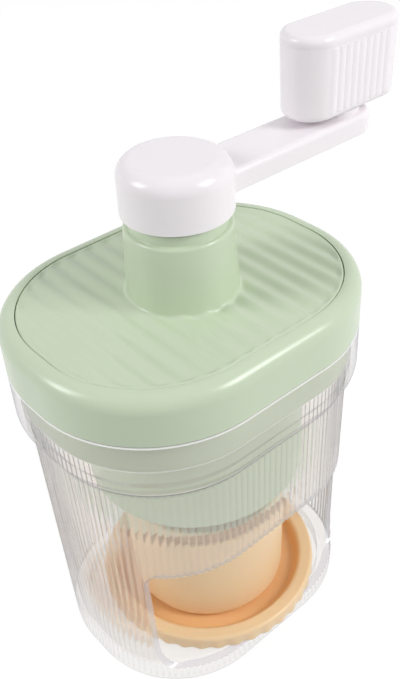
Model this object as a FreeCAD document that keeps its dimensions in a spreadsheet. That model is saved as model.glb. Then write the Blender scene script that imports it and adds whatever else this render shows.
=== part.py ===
"""Hand cranked ice shaver: clear body, lid with bearing post, hopper, crank, cup and dish.

The origin is the middle of the foot rim, on the crank's axis. +Z is up, the front
opening faces -Y and the crank rests along +X. All sizes are millimetres.
"""
import FreeCAD, Part
import Sketcher
import math
import os
import re

Vector = FreeCAD.Vector
RIGHT_ANGLE = math.pi / 2
# Half the square root of three, for three spots round an axis and for six sided wire.
HALF_ROOT_THREE = "0.8660254"
# Closer than this, two heights or volumes are the same.
SAME = 1e-4

# Driving dimensions. Every size that can be set by itself stands here once.
SIZES = {
    # outline shared by the body and the lid
    "lid_length": 120.0,
    "lid_width": 96.0,
    "corner_flat": 4.5,
    # clear body
    "panel_level": 146.0,
    "lid_side": 16.7,
    "collar_wall": 2.2,
    "shoulder_level": 105.5,
    "shoulder_rise": 6.0,
    "shoulder_inset": 3.5,
    "base_inset": 5.5,
    "body_wall": 2.0,
    "shelf_level": 9.3,
    "shelf_thickness": 2.0,
    "base_round": 3.5,
    "opening_top": 64.0,
    "opening_depth": 27.5,
    "opening_corner": 6.0,
    "shoulder_land": 1.0,
    # lid shell
    "skirt_gap": 0.3,
    "skirt_wall": 1.8,
    "skirt_depth": 12.8,
    "lid_round": 5.0,
    "panel_inset": 5.8,
    "panel_gap": 0.2,
    "panel_thickness": 2.8,
    "web_thickness": 2.0,
    "panel_screw_end": 13.0,
    "panel_screw_across": 12.0,
    # bearing post on the panel
    "post_foot_radius": 18.5,
    "post_rim_radius": 17.3,
    "post_height": 23.4,
    "post_wall": 2.4,
    "post_webs": 4.0,
    "post_foot_round": 2.2,
    "post_rim_round": 1.2,
    "neck_radius": 15.8,
    "neck_height": 3.2,
    "bush_tube_wall": 2.2,
    # bearings and drive tube
    "tube_radius": 6.0,
    "running_gap": 0.06,
    "bush_wall": 1.5,
    "bush_length": 12.0,
    "bush_flange_radius": 10.5,
    "bush_flange": 1.2,
    "washer_thickness": 0.8,
    "drive_flange_radius": 12.0,
    "drive_flange": 2.9,
    "rod_well_radius": 4.6,
    "tube_bottom": 127.0,
    "bush_seat_drop": 3.0,
    "end_float": 0.3,
    "clip_thickness": 1.0,
    "clip_groove": 0.7,
    "clip_radius": 9.0,
    "seat_radius": 12.5,
    "seat_thickness": 1.2,
    # crank
    "hub_radius": 17.6,
    "hub_draft": 0.3,
    "hub_gap": 1.5,
    "hub_height": 16.9,
    "hub_round": 5.0,
    "hub_wall": 2.4,
    "arm_drop": 7.0,
    "arm_thickness": 7.2,
    "arm_half_width": 9.8,
    "arm_reach": 71.4,
    "arm_overhang": 1.8,
    "arm_round": 2.0,
    "arm_root": 2.0,
    "arm_wall": 2.2,
    "boss_radius": 7.6,
    "boss_height": 1.9,
    "hub_screw_circle": 9.2,
    "hub_screw_bite": 6.0,
    "hub_screw_well": 7.0,
    "screw_radius": 1.2,
    "screw_head_radius": 2.2,
    "screw_head": 1.3,
    "screw_cover": 0.7,
    "hole_gap": 0.05,
    # grip
    "axle_radius": 2.5,
    "axle_length": 9.0,
    "axle_head": 4.4,
    "axle_head_thickness": 1.6,
    "axle_foot": 0.5,
    "washer_margin": 1.5,
    "knob_washer": 0.5,
    "knob_length": 46.8,
    "knob_width": 20.2,
    "knob_height": 28.0,
    "knob_draft": 0.4,
    "knob_cap_height": 3.4,
    "knob_wall": 2.0,
    "knob_round": 2.4,
    "knob_ribs": 9.0,
    "knob_rib_pitch": 3.2,
    "knob_rib_end": 1.0,
    "knob_rib_radius": 3.8,
    "knob_rib_rise": 0.35,
    # ice chamber and blade
    "hopper_inset": 8.5,
    "hopper_wall": 2.0,
    "hopper_bottom": 71.0,
    "hopper_floor": 3.0,
    "hopper_gap": 0.4,
    "hopper_round": 3.0,
    "ring_wall": 1.8,
    "ring_depth": 9.0,
    "lug_count": 3.0,
    "lug_lift": 1.6,
    "lug_slack": 3.0,
    "lug_depth": 1.5,
    "lug_height": 2.4,
    "lug_angle": 15.0,
    "twist_angle": 25.0,
    "slot_width": 7.0,
    "slot_start": 3.5,
    "slot_margin": 3.0,
    "blade_rise": 0.6,
    "blade_thickness": 0.8,
    "blade_flange": 13.0,
    "blade_play": 0.5,
    "blade_screw_end": 7.0,
    "blade_screw_back": 6.0,
    # pusher
    "rod_side": 6.0,
    "pusher_gap": 1.9,
    "pusher_ribs": 6.0,
    "pusher_rib": 2.0,
    "pusher_rib_start": 3.0,
    "pusher_thickness": 3.0,
    "pusher_rise": 10.5,
    "pusher_hub_radius": 9.0,
    "pusher_hub": 3.5,
    "gripper_thickness": 0.8,
    "gripper_radius": 28.0,
    "tooth_length": 4.6,
    "tooth_width": 4.0,
    "tooth_circle": 22.0,
    "teeth": 8.0,
    "gripper_screw_out": 4.0,
    "gripper_screw_cover": 0.3,
    "rod_drop": 23.4,
    "spring_radius": 10.2,
    "wire_radius": 0.7,
    "spring_turns": 8.0,
    # cup and dish
    "dish_forward": 3.0,
    "dish_inset": 5.0,
    "dish_rim": 6.4,
    "dish_height": 7.6,
    "dish_floor": 1.6,
    "dish_wall": 1.6,
    "dish_slope": 8.0,
    "scallops": 40.0,
    "scallop_radius": 3.4,
    "scallop_depth": 0.7,
    "dish_skirt": 5.6,
    "cup_height": 50.4,
    "cup_foot_radius": 28.5,
    "cup_rim_radius": 31.0,
    "cup_wall": 1.8,
    "cup_round": 7.0,
}

doc = FreeCAD.newDocument("ice_shaver")
dim = doc.addObject("Spreadsheet::Sheet", "dim")
for row, (alias, value) in enumerate(SIZES.items(), start=1):
    dim.set("A%d" % row, alias)
    dim.set("B%d" % row, str(value))
    dim.setAlias("B%d" % row, alias)
doc.recompute()

# Heights above the foot rim, worked out from the driving dimensions.
LID_BOTTOM = "(panel_level - lid_side)"
SKIRT_BOTTOM = "(panel_level - lid_side - skirt_depth)"
PANEL_BOTTOM = "(panel_level - panel_thickness)"
WEB_BOTTOM = "(panel_level - panel_thickness - web_thickness)"
POST_TOP = "(panel_level + post_height)"
NECK_TOP = "(panel_level + post_height + neck_height)"
DRIVE_BOTTOM = "(%s + bush_flange + washer_thickness)" % NECK_TOP
HUB_SEAT = "(%s + drive_flange)" % DRIVE_BOTTOM
HUB_BOTTOM = "(%s + hub_gap)" % NECK_TOP
HUB_TOP = "(%s + hub_height)" % HUB_BOTTOM
ARM_TOP = "(%s - arm_drop)" % HUB_TOP
ARM_BOTTOM = "(%s - arm_thickness)" % ARM_TOP
BOSS_TOP = "(%s + boss_height)" % ARM_TOP
KNOB_BOTTOM = "(%s + knob_washer)" % BOSS_TOP
KNOB_SEAM = "(%s + knob_height - knob_cap_height)" % KNOB_BOTTOM
AXLE_SHOULDER = "(%s + axle_length)" % KNOB_BOTTOM
HOPPER_TOP = "(%s - hopper_gap)" % WEB_BOTTOM
RING_BOTTOM = "(%s - ring_depth)" % PANEL_BOTTOM
LUG_BOTTOM = "(%s + lug_lift)" % RING_BOTTOM
LOWER_SEAT = "(%s - bush_seat_drop)" % PANEL_BOTTOM
CLIP_TOP = "(%s - bush_flange - end_float)" % LOWER_SEAT
SEAT_TOP = "(%s - clip_thickness)" % CLIP_TOP
SEAT_BOTTOM = "(%s - seat_thickness)" % SEAT_TOP
PUSHER_LEVEL = "(hopper_bottom + pusher_rise)"
PUSHER_TOP = "(%s + pusher_thickness)" % PUSHER_LEVEL
ROD_TOP = "(%s - rod_drop)" % POST_TOP
DISH_TOP = "(shelf_level + dish_height)"
CUP_BOTTOM = "(shelf_level + dish_floor)"

# Radii worked out from the outline and from the fits between neighbours.
CORNER = "(lid_width / 2 - corner_flat)"
HOPPER_RADIUS = "(lid_width / 2 - hopper_inset)"
DISH_RADIUS = "(lid_width / 2 - dish_inset)"
DISH_FOOT = "(%s - dish_slope)" % DISH_RADIUS
BUSH_BORE = "(tube_radius + running_gap)"
BUSH_OUTSIDE = "(tube_radius + running_gap + bush_wall)"
POST_BORE = "(%s + hole_gap)" % BUSH_OUTSIDE
BUSH_TUBE = "(%s + bush_tube_wall)" % POST_BORE
HOPPER_BORE = "(%s - hopper_wall)" % HOPPER_RADIUS
RING_OUTSIDE = "(%s - skirt_gap)" % HOPPER_BORE
ROD_HOLE = "(rod_side + 2 * running_gap)"
GRIPPER_CIRCLE = "(tooth_circle / 2 + gripper_screw_out)"
PUSHER_RADIUS = "(%s - pusher_gap)" % HOPPER_BORE
SLOT_END = "(%s - slot_margin)" % HOPPER_BORE
KNOB_FOOT_LENGTH = "(knob_length - 2 * knob_draft)"
KNOB_FOOT_WIDTH = "(knob_width - 2 * knob_draft)"
ARM_END = "(arm_reach + arm_overhang)"

# Where the screws stand, as X and Y.
SCREW_ALONG = "(lid_length / 2 - panel_screw_end)"
PANEL_SCREWS = [(SCREW_ALONG, "panel_screw_across"), ("-" + SCREW_ALONG, "panel_screw_across"),
                ("-" + SCREW_ALONG, "-panel_screw_across"), (SCREW_ALONG, "-panel_screw_across")]
BLADE_SCREWS = [("slot_start + blade_screw_end", "slot_width / 2 + blade_screw_back"),
                (SLOT_END + " - blade_screw_end", "slot_width / 2 + blade_screw_back")]


def sized(text):
    """Point each name in an expression at the sheet."""
    return re.sub(r"[a-z]+(_[a-z]+)*", lambda word: "dim." + word.group(0), text)


def value_of(text):
    """The number that an expression of sheet names stands for now."""
    result = dim.evalExpression(sized(text))
    return float(result)


def new_body(label):
    body = doc.addObject("PartDesign::Body", label)
    body.Label = label
    return body


def new_sketch(body, plane="XY_Plane", level=None):
    """A sketch on one of the body's own origin planes, raised to a level."""
    sketch = body.newObject("Sketcher::SketchObject", "outline")
    support = [item for item in body.Origin.OriginFeatures if item.Role == plane][0]
    sketch.AttachmentSupport = (support, [""])
    sketch.MapMode = "FlatFace"
    if level:
        sketch.setExpression("AttachmentOffset.Base.z", sized(level))
    return sketch


def hold(sketch, kind, where, size):
    """Add a dimension and tie it to the sheet."""
    index = sketch.addConstraint(Sketcher.Constraint(kind, *where, value_of(size)))
    sketch.setExpression("Constraints[%d]" % index, sized(size))


def place(sketch, item, point, across, along):
    """Hold a point of a sketch at two distances from the sketch's origin."""
    for kind, axis, size in (("DistanceX", -2, across), ("DistanceY", -1, along)):
        now = value_of(size)
        if abs(now) < SAME:
            sketch.addConstraint(Sketcher.Constraint("PointOnObject", item, point, axis))
        elif now > 0:
            hold(sketch, kind, (-1, 1, item, point), size)
        else:
            hold(sketch, kind, (item, point, -1, 1), "-(%s)" % size)


def draw_outline(sketch, corners):
    """A closed outline of straight lines through corners given as expressions."""
    spots = [Vector(value_of(x), value_of(y), 0) for x, y in corners]
    lines = []
    for start, end in zip(spots, spots[1:] + spots[:1]):
        lines.append(sketch.addGeometry(Part.LineSegment(start, end), False))
    for line, following in zip(lines, lines[1:] + lines[:1]):
        sketch.addConstraint(Sketcher.Constraint("Coincident", line, 2, following, 1))
    for line, (x, y) in zip(lines, corners):
        place(sketch, line, 1, x, y)


def draw_circle(sketch, radius, across="0", along="0"):
    centre = Vector(value_of(across), value_of(along), 0)
    ring = sketch.addGeometry(Part.Circle(centre, Vector(0, 0, 1), value_of(radius)), False)
    place(sketch, ring, 3, across, along)
    hold(sketch, "Radius", (ring,), radius)


def draw_plan(sketch, inset):
    """The rounded oblong of the body and lid, drawn in from the lid's outside."""
    draw_rounded(sketch, "lid_length / 2 - " + CORNER, "corner_flat", "%s - (%s)" % (CORNER, inset))


def draw_rounded(sketch, across, along, radius):
    """A rounded oblong whose corner centres stand at +-across and +-along."""
    cx, cy, r = (value_of(size) for size in (across, along, radius))
    signs = ((1, 1), (-1, 1), (-1, -1), (1, -1))
    arcs = []
    for step, (sx, sy) in enumerate(signs):
        ring = Part.Circle(Vector(sx * cx, sy * cy, 0), Vector(0, 0, 1), r)
        arc = Part.ArcOfCircle(ring, step * RIGHT_ANGLE, (step + 1) * RIGHT_ANGLE)
        arcs.append(sketch.addGeometry(arc, False))
    for step, arc in enumerate(arcs):
        after = arcs[(step + 1) % 4]
        start = sketch.Geometry[arc].EndPoint
        end = sketch.Geometry[after].StartPoint
        line = sketch.addGeometry(Part.LineSegment(start, end), False)
        sketch.addConstraint(Sketcher.Constraint("Tangent", arc, 2, line, 1))
        sketch.addConstraint(Sketcher.Constraint("Tangent", line, 2, after, 1))
    for arc, (sx, sy) in zip(arcs, signs):
        place(sketch, arc, 3, "%d * (%s)" % (sx, across), "%d * (%s)" % (sy, along))
    for arc in arcs[1:]:
        sketch.addConstraint(Sketcher.Constraint("Equal", arcs[0], arc))
    hold(sketch, "Radius", (arcs[0],), radius)


def draw_obround(sketch, length, width, centre="0"):
    """Two half circles joined by straight sides, long in X."""
    half = value_of("(%s - %s) / 2" % (length, width))
    r = value_of("%s / 2" % width)
    middle = value_of(centre)
    ends = []
    for spot, start in ((middle + half, -RIGHT_ANGLE), (middle - half, RIGHT_ANGLE)):
        ring = Part.Circle(Vector(spot, 0, 0), Vector(0, 0, 1), r)
        ends.append(sketch.addGeometry(Part.ArcOfCircle(ring, start, start + math.pi), False))
    right, left = ends
    for first, second in ((right, left), (left, right)):
        start = sketch.Geometry[first].EndPoint
        end = sketch.Geometry[second].StartPoint
        line = sketch.addGeometry(Part.LineSegment(start, end), False)
        sketch.addConstraint(Sketcher.Constraint("Tangent", first, 2, line, 1))
        sketch.addConstraint(Sketcher.Constraint("Tangent", line, 2, second, 1))
    place(sketch, right, 3, "%s + (%s - %s) / 2" % (centre, length, width), "0")
    place(sketch, left, 3, "%s - (%s - %s) / 2" % (centre, length, width), "0")
    hold(sketch, "Radius", (right,), "%s / 2" % width)


def grow(body, kind, sketch, size=None, **settings):
    """Add a feature that uses a sketch, and make it the body's tip."""
    feature = body.newObject("PartDesign::" + kind, kind.lower())
    feature.Profile = sketch
    if size:
        feature.setExpression("Length", sized(size))
    for name, setting in settings.items():
        setattr(feature, name, setting)
    body.Tip = feature
    return feature


def pad(body, sketch, size, **settings):
    return grow(body, "Pad", sketch, size, **settings)


def pocket(body, sketch, size, upwards=False, **settings):
    """Cut a sketch's outline down from its plane, or up from it."""
    before = solid_volume(body)
    feature = grow(body, "Pocket", sketch, size, Reversed=upwards, **settings)
    if solid_volume(body) > before - SAME:
        raise RuntimeError("a pocket of %s cuts nothing" % body.Label)
    return feature


def solid_volume(body):
    doc.recompute()
    return body.Tip.Shape.Volume


def revolve(body, corners, kind="Revolution", angle=None, turn=None):
    """Turn a section, given as radius and height, round the body's Z axis."""
    sketch = new_sketch(body, "XZ_Plane")
    if turn:
        upright = FreeCAD.Rotation(Vector(0, 1, 0), value_of(turn))
        sketch.AttachmentOffset = FreeCAD.Placement(Vector(), upright)
        sketch.setExpression("AttachmentOffset.Rotation.Angle", sized(turn))
    draw_outline(sketch, corners)
    feature = body.newObject("PartDesign::" + kind, kind.lower())
    feature.Profile = sketch
    feature.ReferenceAxis = (sketch, ["V_Axis"])
    if angle:
        feature.Midplane = True
        feature.setExpression("Angle", sized(angle))
    else:
        feature.Angle = 360
    body.Tip = feature
    return feature


def loft(body, kind, first, last):
    """Join two plans of the outline, each a height and an inset, by straight walls."""
    outlines = []
    for level, inset in (first, last):
        outlines.append(new_sketch(body, level=level))
        draw_plan(outlines[-1], inset)
    before = solid_volume(body) if kind == "SubtractiveLoft" else None
    feature = body.newObject("PartDesign::" + kind, kind.lower())
    feature.Profile = outlines[0]
    feature.Sections = outlines[1:]
    feature.Ruled = True
    body.Tip = feature
    if before and not 0 < solid_volume(body) < before:
        raise RuntimeError("a loft of %s cuts nothing" % body.Label)
    return feature


def repeat_round(body, features, count, name="around"):
    """Copy features round the body's Z axis."""
    pattern = body.newObject("PartDesign::PolarPattern", name)
    pattern.Originals = features
    axis = [item for item in body.Origin.OriginFeatures if item.Role == "Z_Axis"][0]
    pattern.Axis = (axis, [""])
    pattern.Angle = 360
    pattern.setExpression("Occurrences", sized(count))
    body.Tip = pattern
    return pattern


def round_edges(body, radius, chosen):
    """Fillet the edges of the body's tip that pass a test."""
    doc.recompute()
    base = body.Tip
    names = ["Edge%d" % (index + 1) for index, edge in enumerate(base.Shape.Edges) if chosen(edge)]
    if not names:
        raise RuntimeError("no edge to round on %s" % body.Label)
    fillet = body.newObject("PartDesign::Fillet", "fillet")
    fillet.Base = (base, names)
    fillet.setExpression("Radius", sized(radius))
    body.Tip = fillet
    doc.recompute()
    return fillet


def edges_at(level, least_reach=0.0, most_reach=1e9):
    """A test for edges that lie flat at a height, by how far out their middle is."""
    height = value_of(level)

    def test(edge):
        box = edge.BoundBox
        flat = abs(box.ZMin - height) < SAME and abs(box.ZMax - height) < SAME
        middle = edge.valueAt((edge.FirstParameter + edge.LastParameter) / 2)
        reach = (middle.x ** 2 + middle.y ** 2) ** 0.5
        return flat and least_reach < reach < most_reach
    return test


def shift(body, x="0", y="0", z="0"):
    for axis, size in zip("xyz", (x, y, z)):
        body.setExpression("Placement.Base." + axis, sized(size))


def make_clear_body():
    body = new_body("clear_body")
    collar_level = "(shoulder_level + shoulder_rise)"
    wall_at_shelf = "(base_inset - (base_inset - shoulder_inset) * shelf_level / shoulder_level)"
    loft(body, "AdditiveLoft", ("0", "base_inset"), ("shoulder_level", "shoulder_inset"))
    loft(body, "AdditiveLoft", ("shoulder_level", "shoulder_inset"), (collar_level, "0"))
    collar = new_sketch(body, level=collar_level)
    draw_plan(collar, "0")
    pad(body, collar, LID_BOTTOM + " - " + collar_level)
    round_edges(body, "base_round", edges_at("0"))
    mouth = new_sketch(body, level=LID_BOTTOM)
    draw_plan(mouth, "collar_wall")
    inner_collar = "(%s + shoulder_land)" % collar_level
    pocket(body, mouth, LID_BOTTOM + " - " + inner_collar)
    loft(body, "SubtractiveLoft", (inner_collar, "collar_wall"),
         ("shoulder_level + shoulder_land", "shoulder_inset + body_wall"))
    loft(body, "SubtractiveLoft", ("shoulder_level + shoulder_land", "shoulder_inset + body_wall"),
         ("shelf_level", wall_at_shelf + " + body_wall"))
    recess = new_sketch(body)
    draw_plan(recess, "base_inset + base_round + body_wall")
    pocket(body, recess, "shelf_level - shelf_thickness", upwards=True)
    window = new_sketch(body, "YZ_Plane")
    draw_window(window)
    pocket(body, window, "2 * lid_length", Midplane=True)


def draw_window(sketch):
    """The opening seen from the side: open to the front, rounded at its back corners."""
    front, back = "-lid_width", "-opening_depth"
    low, high, r = "shelf_level", "opening_top", "opening_corner"
    y0, y1, z0, z1, size = (value_of(text) for text in (front, back, low, high, r))
    arcs = []
    for height, start in ((z1 - size, 0), (z0 + size, -RIGHT_ANGLE)):
        ring = Part.Circle(Vector(y1 - size, height, 0), Vector(0, 0, 1), size)
        arcs.append(sketch.addGeometry(Part.ArcOfCircle(ring, start, start + RIGHT_ANGLE), False))
    top, foot = arcs
    rise = Part.LineSegment(Vector(y1, z0 + size, 0), Vector(y1, z1 - size, 0))
    rise = sketch.addGeometry(rise, False)
    sketch.addConstraint(Sketcher.Constraint("Tangent", foot, 2, rise, 1))
    sketch.addConstraint(Sketcher.Constraint("Tangent", rise, 2, top, 1))
    roof = sketch.addGeometry(Part.LineSegment(Vector(y1 - size, z1, 0), Vector(y0, z1, 0)), False)
    mouth = sketch.addGeometry(Part.LineSegment(Vector(y0, z1, 0), Vector(y0, z0, 0)), False)
    sill = sketch.addGeometry(Part.LineSegment(Vector(y0, z0, 0), Vector(y1 - size, z0, 0)), False)
    sketch.addConstraint(Sketcher.Constraint("Tangent", top, 2, roof, 1))
    sketch.addConstraint(Sketcher.Constraint("Coincident", roof, 2, mouth, 1))
    sketch.addConstraint(Sketcher.Constraint("Coincident", mouth, 2, sill, 1))
    sketch.addConstraint(Sketcher.Constraint("Tangent", sill, 2, foot, 1))
    place(sketch, top, 3, "%s - %s" % (back, r), "%s - %s" % (high, r))
    place(sketch, foot, 3, "%s - %s" % (back, r), "%s + %s" % (low, r))
    hold(sketch, "Radius", (top,), r)
    hold(sketch, "Radius", (foot,), r)
    place(sketch, mouth, 1, front, high)
    hold(sketch, "DistanceY", (-1, 1, mouth, 2), low)


def make_lid_shell():
    body = new_body("lid_shell")
    skirt_inset = "collar_wall + skirt_gap"
    outside = new_sketch(body, level=LID_BOTTOM)
    draw_plan(outside, "0")
    pad(body, outside, "lid_side")
    round_edges(body, "lid_round", edges_at("panel_level"))
    skirt = new_sketch(body, level=SKIRT_BOTTOM)
    draw_plan(skirt, skirt_inset)
    pad(body, skirt, "skirt_depth")
    inside = new_sketch(body, level=SKIRT_BOTTOM)
    draw_plan(inside, skirt_inset + " + skirt_wall")
    pocket(body, inside, WEB_BOTTOM + " - " + SKIRT_BOTTOM, upwards=True)
    recess = new_sketch(body, level="panel_level")
    draw_plan(recess, "panel_inset")
    pocket(body, recess, "panel_thickness")
    hole = new_sketch(body, level=PANEL_BOTTOM)
    draw_circle(hole, RING_OUTSIDE + " + skirt_gap")
    pocket(body, hole, "web_thickness")
    for along, across in PANEL_SCREWS:
        hole = new_sketch(body, level=PANEL_BOTTOM)
        draw_circle(hole, "screw_radius + hole_gap", along, across)
        pocket(body, hole, "web_thickness")


def make_lid_panel():
    body = new_body("lid_panel")
    plate = new_sketch(body, level=PANEL_BOTTOM)
    draw_plan(plate, "panel_inset + panel_gap")
    pad(body, plate, "panel_thickness")
    revolve(body, [("0", PANEL_BOTTOM), ("post_foot_radius", PANEL_BOTTOM),
                   ("post_foot_radius", "panel_level"), ("post_rim_radius", POST_TOP),
                   ("neck_radius", POST_TOP), ("neck_radius", NECK_TOP), ("0", NECK_TOP)])
    foot_reach = value_of("post_foot_radius")
    round_edges(body, "post_foot_round", edges_at("panel_level", foot_reach - SAME, foot_reach + SAME))
    round_edges(body, "post_rim_round", edges_at(POST_TOP, value_of("(neck_radius + post_rim_radius) / 2")))
    bearing = new_sketch(body, level=LOWER_SEAT)
    draw_circle(bearing, BUSH_TUBE)
    pad(body, bearing, "bush_seat_drop")
    ceiling = "(%s - post_wall)" % POST_TOP
    revolve(body, [(BUSH_TUBE, PANEL_BOTTOM), ("post_foot_radius - post_wall", PANEL_BOTTOM),
                   ("post_rim_radius - post_wall", ceiling), (BUSH_TUBE, ceiling)], kind="Groove")
    web = new_sketch(body, level=PANEL_BOTTOM)
    near, far, half = BUSH_TUBE + " - bush_tube_wall / 2", "post_foot_radius - post_wall / 2", "post_wall / 3"
    draw_outline(web, [(near, "-" + half), (far, "-" + half), (far, half), (near, half)])
    first_web = pad(body, web, ceiling + " - " + PANEL_BOTTOM + " + post_wall / 2")
    repeat_round(body, [first_web], "post_webs")
    ring = new_sketch(body, level=RING_BOTTOM)
    draw_circle(ring, RING_OUTSIDE)
    draw_circle(ring, RING_OUTSIDE + " - ring_wall")
    pad(body, ring, "ring_depth")
    root, tip = RING_OUTSIDE + " - ring_wall / 2", RING_OUTSIDE + " + lug_depth"
    lug_top = LUG_BOTTOM + " + lug_height"
    lug = revolve(body, [(root, LUG_BOTTOM), (tip, LUG_BOTTOM), (tip, lug_top), (root, lug_top)],
                  angle="lug_angle")
    repeat_round(body, [lug], "lug_count")
    for along, across in PANEL_SCREWS:
        hole = new_sketch(body, level=PANEL_BOTTOM)
        draw_circle(hole, "screw_radius + hole_gap", along, across)
        pocket(body, hole, "panel_thickness - screw_cover", upwards=True)
    bore = new_sketch(body, level=NECK_TOP)
    draw_circle(bore, POST_BORE)
    pocket(body, bore, NECK_TOP + " - " + LOWER_SEAT)


def make_bush(label, seat, away):
    """A flanged plain bearing; its flange lies outside the seat, away from the post."""
    body = new_body(label)
    tube = "%s %s bush_length" % (seat, "-" if away == "+" else "+")
    face = "%s %s bush_flange" % (seat, away)
    revolve(body, [(BUSH_BORE, tube), (BUSH_OUTSIDE, tube), (BUSH_OUTSIDE, seat),
                   ("bush_flange_radius", seat), ("bush_flange_radius", face), (BUSH_BORE, face)])


def make_ring(label, bore, outside, bottom, top):
    body = new_body(label)
    revolve(body, [(bore, bottom), (outside, bottom), (outside, top), (bore, top)])
    return body


def make_drive_tube():
    body = new_body("drive_tube")
    groove_top = CLIP_TOP + " + hole_gap"
    groove_foot = CLIP_TOP + " - clip_thickness - hole_gap"
    waist = "tube_radius - clip_groove"
    revolve(body, [("0", "tube_bottom"), ("tube_radius", "tube_bottom"), ("tube_radius", groove_foot),
                   (waist, groove_foot), (waist, groove_top), ("tube_radius", groove_top),
                   ("tube_radius", DRIVE_BOTTOM), ("drive_flange_radius", DRIVE_BOTTOM),
                   ("drive_flange_radius", HUB_SEAT), ("0", HUB_SEAT)])
    bore = new_sketch(body, level=HUB_SEAT)
    draw_square(bore, ROD_HOLE)
    pocket(body, bore, HUB_SEAT + " - tube_bottom")
    cut_screw_holes(body, DRIVE_BOTTOM, "screw_head_radius + hole_gap", "screw_head + hole_gap")
    cut_screw_holes(body, DRIVE_BOTTOM, "screw_radius + hole_gap", "drive_flange")


def draw_square(sketch, side):
    half = "%s / 2" % side
    draw_outline(sketch, [("-" + half, "-" + half), (half, "-" + half), (half, half), ("-" + half, half)])


def cut_screw_holes(body, level, radius, depth):
    """Three holes on the hub's screw circle, cut upwards from a level."""
    sketch = new_sketch(body, level=level)
    draw_circle(sketch, radius, "hub_screw_circle")
    hole = pocket(body, sketch, depth, upwards=True)
    repeat_round(body, [hole], "3")


def make_retaining_clip():
    body = make_ring("retaining_clip", "tube_radius - clip_groove + hole_gap", "clip_radius",
                     CLIP_TOP + " - clip_thickness", CLIP_TOP)
    gap = new_sketch(body, level=CLIP_TOP)
    far = "clip_radius + clip_thickness"
    draw_outline(gap, [("0", "-tube_radius / 2"), (far, "-tube_radius / 2"), (far, "tube_radius / 2"),
                       ("0", "tube_radius / 2")])
    pocket(body, gap, "clip_thickness")


def make_crank_handle():
    body = new_body("crank_handle")
    revolve(body, [("0", HUB_BOTTOM), ("hub_radius + hub_draft", HUB_BOTTOM),
                   ("hub_radius", HUB_TOP), ("0", HUB_TOP)])
    round_edges(body, "hub_round", edges_at(HUB_TOP))
    arm = new_sketch(body, level=ARM_BOTTOM)
    draw_obround(arm, "(%s + 2 * arm_half_width)" % ARM_END, "(2 * arm_half_width)", ARM_END + " / 2")
    pad(body, arm, "arm_thickness")
    hub_reach = value_of("hub_radius + hub_draft")
    round_edges(body, "arm_round", edges_at(ARM_TOP, hub_reach))
    round_edges(body, "arm_root", edges_at(ARM_TOP, hub_reach / 2, hub_reach))
    boss = new_sketch(body, level=ARM_TOP)
    draw_circle(boss, "boss_radius", "arm_reach")
    pad(body, boss, "boss_height")
    relief = new_sketch(body, level=ARM_BOTTOM)
    near, far = "hub_radius + 2 * arm_wall", "arm_reach - boss_radius - arm_wall"
    side = "(arm_half_width - arm_wall)"
    draw_outline(relief, [(near, "-" + side), (far, "-" + side), (far, side), (near, side)])
    pocket(body, relief, "arm_thickness - arm_wall", upwards=True)
    inside, ceiling = "hub_radius - hub_wall", HUB_TOP + " - hub_wall"
    revolve(body, [("0", HUB_BOTTOM), (inside, HUB_BOTTOM), (inside, ceiling), ("0", ceiling)], kind="Groove")
    core = new_sketch(body, level=HUB_SEAT)
    draw_circle(core, "drive_flange_radius")
    pad(body, core, HUB_TOP + " - hub_wall - " + HUB_SEAT)
    well = new_sketch(body, level=HUB_SEAT)
    draw_circle(well, "rod_well_radius")
    pocket(body, well, HUB_TOP + " - hub_wall - " + HUB_SEAT, upwards=True)
    cut_screw_holes(body, HUB_SEAT, "screw_radius + hole_gap", "hub_screw_well")
    bore = new_sketch(body, level=BOSS_TOP)
    draw_circle(bore, "axle_radius + hole_gap", "arm_reach")
    pocket(body, bore, "boss_height + arm_thickness")


def make_screws(label, spots, head_bottom, shank_length):
    """Screws driven upwards, each a head with its shank above it."""
    pieces = []
    for x, y in spots:
        for radius, height, level in (("screw_head_radius", "screw_head", head_bottom),
                                      ("screw_radius", shank_length, head_bottom + " + screw_head")):
            piece = doc.addObject("Part::Cylinder", label + "_piece")
            piece.setExpression("Radius", sized(radius))
            piece.setExpression("Height", sized(height))
            shift(piece, x, y, level)
            pieces.append(piece)
    group = doc.addObject("Part::MultiFuse", label)
    group.Shapes = pieces
    group.Label = label


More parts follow.
